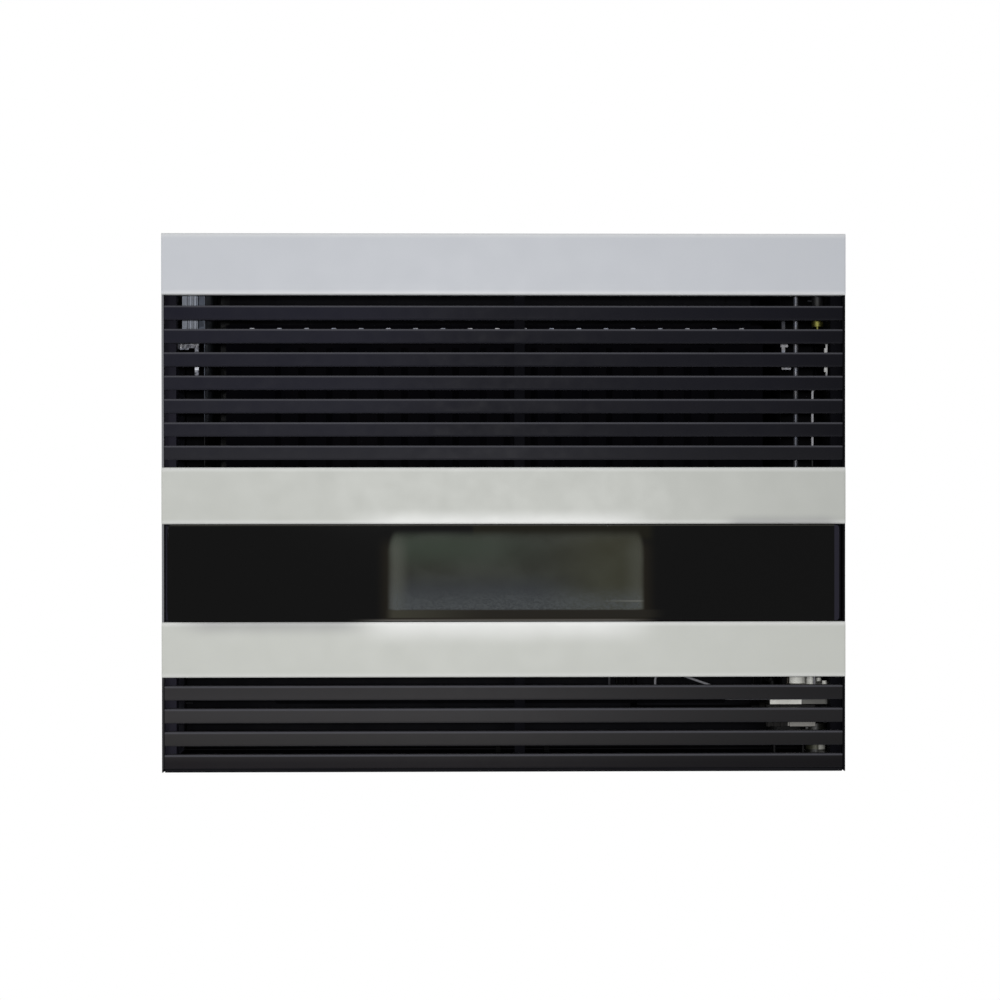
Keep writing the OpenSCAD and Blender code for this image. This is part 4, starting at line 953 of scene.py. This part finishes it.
def all_finishes():
    """One material for each material slot of the record."""
    along_x = (0.02, 1, 1)
    along_y = (1, 0.02, 1)
    return {
        "casing_light": stove_enamel(),
        "trim_black": side_black(),
        "slat_dark": slat_black(),
        "tray_black": satin_black("tray_paint", srgb(16, 16, 19), srgb(22, 22, 25), 0.6, specular=0.02),
        "chamber_black": chamber_enamel(),
        "shield_steel": galvanised_sheet(),
        "zinc_plate": bright_zinc(),
        "black_glass": printed_glass(),
        "ceramic_glass": glass_ceramic(),
        "pad_rubber": foam_tape(),
        "fibre_gasket": ceramic_fibre(),
        "burner_steel": heat_tinted_steel(),
        "ceramic": glazed_ceramic(),
        "valve_casting": cast_aluminium(),
        "brass": inlet_brass(),
        # The copper and the drawn pipe are painted dark as shade away from the valve
        "copper": shade_pipe_run(
            drawn_metal("soft_copper", srgb(122, 112, 100), srgb(144, 134, 122), 0.45, along_x)
        ),
        "pipe_metal": shade_pipe_run(
            drawn_metal("drawn_pipe", srgb(170, 172, 170), srgb(204, 205, 200), 0.4, along_x)
        ),
        "flue_metal": drawn_metal("flue_tube", srgb(156, 158, 162), srgb(190, 192, 195), 0.4, along_y),
        "control_black": control_plastic(),
        "insulator_white": moulding("white_nylon", srgb(214, 213, 206), srgb(226, 225, 219), 0.35, 900),
        "lead_white": silicone_sleeve(),
    }


def dress_solids(frame, finishes):
    """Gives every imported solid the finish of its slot."""
    for part in frame["record"]["subparts"]:
        for slot in frame["nodes"][part["node"]].material_slots:
            slot.material = finishes[part["material_slot"]]


# ---------------------------------------------------------------- casing front


def folded_front(name, low, high, fold):
    """A sheet whose top and bottom edges are folded back, as an open shell."""
    piece = block(name, low, high)
    pick_faces(piece, lambda middle, normal: normal.y > 0.9 or abs(normal.x) > 0.9)
    bpy.ops.mesh.delete(type="FACE")
    close_edit()
    pick_edges(piece, lambda middle, way: abs(way.x) > 0.9 and middle.y < low[1] + fold / 2)
    bpy.ops.mesh.bevel(offset=fold, segments=FOLD_SEGMENTS, affect="EDGES")
    close_edit()
    return piece


def notch_lips(piece, end, behind, below):
    """Cuts the ends off the lips, behind the fold, so that they pass between the side panels."""
    for side in (-1, 1):
        pick_faces(piece, lambda middle, normal: True)
        bpy.ops.mesh.bisect(plane_co=(side * end, 0, 0), plane_no=(1, 0, 0))
        close_edit()
    pick_faces(
        piece,
        lambda middle, normal: abs(middle.x) > end and middle.y > behind and middle.z < below,
    )
    bpy.ops.mesh.delete(type="FACE")
    close_edit()


def loop_near_folds(piece, low, high, reach):
    """Adds an edge along the face, this far inside each fold, where the painted highlight begins."""
    for level in (low.z + reach, high.z - reach):
        pick_faces(piece, lambda middle, normal: True)
        bpy.ops.mesh.bisect(plane_co=(0, 0, level), plane_no=(0, 0, 1))
        close_edit()


def mark_fold_highlight(piece, low, high, reach, upper, lower):
    """Writes on every corner how near it is to a fold, for the finishes that paint a highlight there."""
    marks = piece.data.attributes.new(FOLD_HIGHLIGHT_MARK, "FLOAT", "POINT")
    for corner, mark in zip(piece.data.vertices, marks.data):
        above = upper * (1 - (high.z - corner.co.z) / reach)
        below = lower * (1 - (corner.co.z - low.z) / reach)
        mark.value = max(0.0, above, below)


def thicken(piece, sheet, edge):
    """Gives a shell its sheet thickness inwards and breaks its cut edges."""
    apply_modifier(piece, "SOLIDIFY", thickness=sheet, offset=-1, use_even_offset=True)
    soften_edges(piece, edge)


def band(node, finish, lid=False):
    """One light band; the top one keeps its whole upper lip as a lid over the side panels."""
    low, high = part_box(node)
    piece = folded_front(node + "_folded", low, high, CASING_FOLD)
    below = high.z - LEVEL_MARGIN if lid else high.z + LEVEL_MARGIN
    notch_lips(piece, high.x - LIP_NOTCH, low.y + CASING_FOLD, below)
    loop_near_folds(piece, low, high, BAND_HIGHLIGHT_REACH)
    thicken(piece, CASING_SHEET, BAND_EDGE)
    mark_fold_highlight(piece, low, high, BAND_HIGHLIGHT_REACH, upper=1.0, lower=1.0)
    return fit(piece, "root", "casing_light", finish, node)


def slats(finish):
    """One slat is folded, and the others are copies of it."""
    low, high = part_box("upper_slat_1")
    first = folded_front("upper_slat_1_folded", low, high, SLAT_FOLD)
    loop_near_folds(first, low, high, SLAT_HIGHLIGHT_REACH)
    thicken(first, SLAT_SHEET, SLAT_EDGE)
    mark_fold_highlight(first, low, high, SLAT_HIGHLIGHT_REACH, upper=1.0, lower=0.3)
    others = [f"upper_slat_{i}" for i in range(2, UPPER_SLATS + 1)]
    others += [f"lower_slat_{i}" for i in range(1, LOWER_SLATS + 1)]
    for node in others:
        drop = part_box(node)[0] - low
        fit(copy_at(first, node + "_folded", drop), "root", "slat_dark", finish, node)
    fit(first, "root", "slat_dark", finish, "upper_slat_1")


def glass_strip(finish):
    """The front glass, with rounded corners and ground edges."""
    low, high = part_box("front_glass")
    piece = block("glass_strip", low, high)
    pick_edges(piece, lambda middle, way: abs(way.y) > 0.9)
    bpy.ops.mesh.bevel(offset=GLASS_CORNER, segments=8, affect="EDGES")
    close_edit()
    pick_edges(piece, lambda middle, way: abs(way.y) < 0.1)
    bpy.ops.mesh.bevel(offset=GLASS_EDGE, segments=3, affect="EDGES")
    close_edit()
    pick_faces(piece, lambda middle, normal: abs(normal.y) > 0.99)
    bpy.ops.mesh.inset(thickness=GLASS_RING, depth=0)
    close_edit()
    shade_folds(piece)
    return fit(piece, "root", "black_glass", finish, "front_glass")


# ---------------------------------------------------------------- controls


def knob_skirt(x, y, radius, bottom, top):
    """The round part of the knob: grooves all round and a rolled shoulder."""
    skirt = drum("control_knob_grip", radius, bottom, top, x, y, KNOB_SIDES)
    step = 2 * math.pi / KNOB_SIDES

    def in_groove(middle, normal):
        turn = math.atan2(middle.y - y, middle.x - x) / step
        return abs(normal.z) < 0.5 and math.floor(turn) % SIDES_PER_GROOVE == 0

    pick_faces(skirt, in_groove)
    bpy.ops.mesh.inset(thickness=GROOVE_RIM, depth=-GROOVE_DEPTH, use_individual=True)
    close_edit()
    pick_faces(skirt, lambda middle, normal: normal.z > 0.9)
    for inward, up in SHOULDER_STEPS:
        bpy.ops.mesh.inset(thickness=inward * MM, depth=up * MM)
    close_edit()
    return skirt


def knob_bar(x, y, reach, low_z, high_z):
    """The raised finger bar across the knob, narrower at its top."""
    low = (x - BAR_HALF_WIDTH, y - reach, low_z)
    high = (x + BAR_HALF_WIDTH, y + reach, high_z)
    bar = block("knob_bar", low, high)
    pick_faces(bar, lambda middle, normal: normal.z > 0.9)
    bpy.ops.transform.resize(value=BAR_TAPER, center_override=(x, y, high_z))
    close_edit()
    pick_edges(bar, lambda middle, way: middle.z > low_z + 1 * MM)
    bpy.ops.mesh.bevel(offset=BAR_ROUNDING, segments=4, affect="EDGES")
    close_edit()
    return bar


def knob_pointer(ink, x, y, radius, top):
    """The ink line on the front half of the finger bar."""
    low = (x - POINTER_HALF_WIDTH, y - radius + POINTER_FROM_RIM, top - POINTER_SUNK)
    high = (x + POINTER_HALF_WIDTH, y - POINTER_FROM_MIDDLE, top + POINTER_PROUD)
    pointer = block("knob_pointer", low, high)
    soften_edges(pointer, 0.1 * MM)
    fit(pointer, "control", "insulator_white", ink)


def control_knob(finish, ink):
    """The grooved knob with its finger bar and its ink line."""
    low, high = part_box("control_knob")
    x, y = (low.x + high.x) / 2, (low.y + high.y) / 2
    radius = (high.x - low.x) / 2
    shoulder = low.z + KNOB_SHOULDER
    knob = knob_skirt(x, y, radius, low.z, shoulder)
    bar = knob_bar(x, y, radius - BAR_FROM_RIM, shoulder - BAR_SUNK, high.z)
    apply_modifier(knob, "BOOLEAN", operation="UNION", object=bar, solver="EXACT")
    bpy.data.objects.remove(bar)
    soften_edges(knob, 0.12 * MM, angle=50)
    fit(knob, "control", "control_black", finish, "control_knob")
    knob_pointer(ink, x, y, radius, high.z)


def scale_marks(ink):
    """Short marks on the floor of the well, round the turn of the knob."""
    low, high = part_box("control_knob")
    x, y = (low.x + high.x) / 2, (low.y + high.y) / 2
    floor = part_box("control_well")[1].z - WELL_DEPTH
    low_corner = (x - MARK_HALF_WIDTH, y - MARK_OUTER, floor - MARK_SUNK)
    high_corner = (x + MARK_HALF_WIDTH, y - MARK_INNER, floor + MARK_PROUD)
    first = block("scale_mark_0", low_corner, high_corner)
    soften_edges(first, 0.04 * MM)
    for step in range(1, MARKS):
        mark = copy_at(first, f"scale_mark_{step}", (0, 0, 0))
        pick_faces(mark, lambda middle, normal: True)
        turn = -math.radians(step * MARK_TURN)
        bpy.ops.transform.rotate(value=turn, orient_axis="Z", center_override=(x, y, floor))
        close_edit()
        fit(mark, "root", "insulator_white", ink)
    fit(first, "root", "insulator_white", ink)


# ---------------------------------------------------------------- studio


def pale_floor():
    """A wide pale floor under the hanging heater."""
    bpy.ops.object.select_all(action="DESELECT")
    bpy.ops.mesh.primitive_plane_add(size=1, location=FLOOR_PLACE, scale=FLOOR_SIZE)
    floor = settle(bpy.context.object, "floor")
    material = new_material("pale_floor", srgb(236, 236, 236), 0.8, specular=0.2)
    colours(material, noise(material, 3), srgb(234, 234, 234), srgb(239, 239, 239))
    floor.data.materials.append(material)


def soft_lamp(name, location, size, power, colour):
    """A soft square lamp that points at the front of the heater."""
    bpy.ops.object.select_all(action="DESELECT")
    bpy.ops.object.light_add(type="AREA", location=location)
    lamp = bpy.context.object
    lamp.name = name
    lamp.data.shape = "RECTANGLE"
    lamp.data.size, lamp.data.size_y = size
    lamp.data.energy = power
    lamp.data.color = colour
    lamp.rotation_mode = "QUATERNION"
    way = Vector(LAMP_TARGET) - Vector(location)
    lamp.rotation_quaternion = way.to_track_quat("-Z", "Y")


def pale_room():
    """White wherever the room is seen, and a gentler level where it lights the object."""
    world = bpy.data.worlds.new("pale_room")
    bpy.context.scene.world = world
    world.use_nodes = True
    background = world.node_tree.nodes["Background"]
    background.inputs["Color"].default_value = (1, 1, 1, 1)
    path = add(world, "ShaderNodeLightPath")
    seen = calculate(world, "MAXIMUM", path.outputs["Is Camera Ray"], path.outputs["Is Glossy Ray"])
    seen = calculate(world, "MAXIMUM", seen, path.outputs["Is Transmission Ray"])
    join(world, scaled(world, seen, low=AMBIENT, high=1.0), background.inputs["Strength"])


def studio():
    """The floor, the room and the lamps, shown without any change of tone."""
    pale_floor()
    pale_room()
    for name, (location, size, power, colour) in LAMPS.items():
        soft_lamp(name, location, size, power, colour)
    bpy.context.scene.view_settings.view_transform = "Standard"


def camera():
    """The camera, where the photograph was taken from."""
    bpy.ops.object.select_all(action="DESELECT")
    turn = [math.radians(angle) for angle in CAMERA_TURN]
    bpy.ops.object.camera_add(location=CAMERA_PLACE, rotation=turn)
    view = bpy.context.object
    view.name = "camera"
    view.data.lens = CAMERA_LENS
    view.data.sensor_width = SENSOR_WIDTH
    view.data.clip_end = FAR_CLIP
    bpy.context.scene.camera = view


# ---------------------------------------------------------------- the whole heater


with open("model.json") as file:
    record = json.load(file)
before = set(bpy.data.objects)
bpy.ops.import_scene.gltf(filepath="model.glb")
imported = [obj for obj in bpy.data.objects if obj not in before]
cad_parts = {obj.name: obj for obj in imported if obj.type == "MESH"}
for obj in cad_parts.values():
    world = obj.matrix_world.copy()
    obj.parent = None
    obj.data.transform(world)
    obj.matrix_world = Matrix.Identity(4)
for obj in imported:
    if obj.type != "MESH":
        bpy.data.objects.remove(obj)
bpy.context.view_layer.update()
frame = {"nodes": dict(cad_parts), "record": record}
camera()
studio()

finishes = all_finishes()
dress_solids(frame, finishes)
ink = scale_print()

band("top_band", finishes["casing_light"], lid=True)
band("middle_band", finishes["casing_light"])
band("lower_band", finishes["casing_light"])
slats(finishes["slat_dark"])
glass_strip(finishes["black_glass"])
control_knob(finishes["control_black"], ink)
scale_marks(ink)
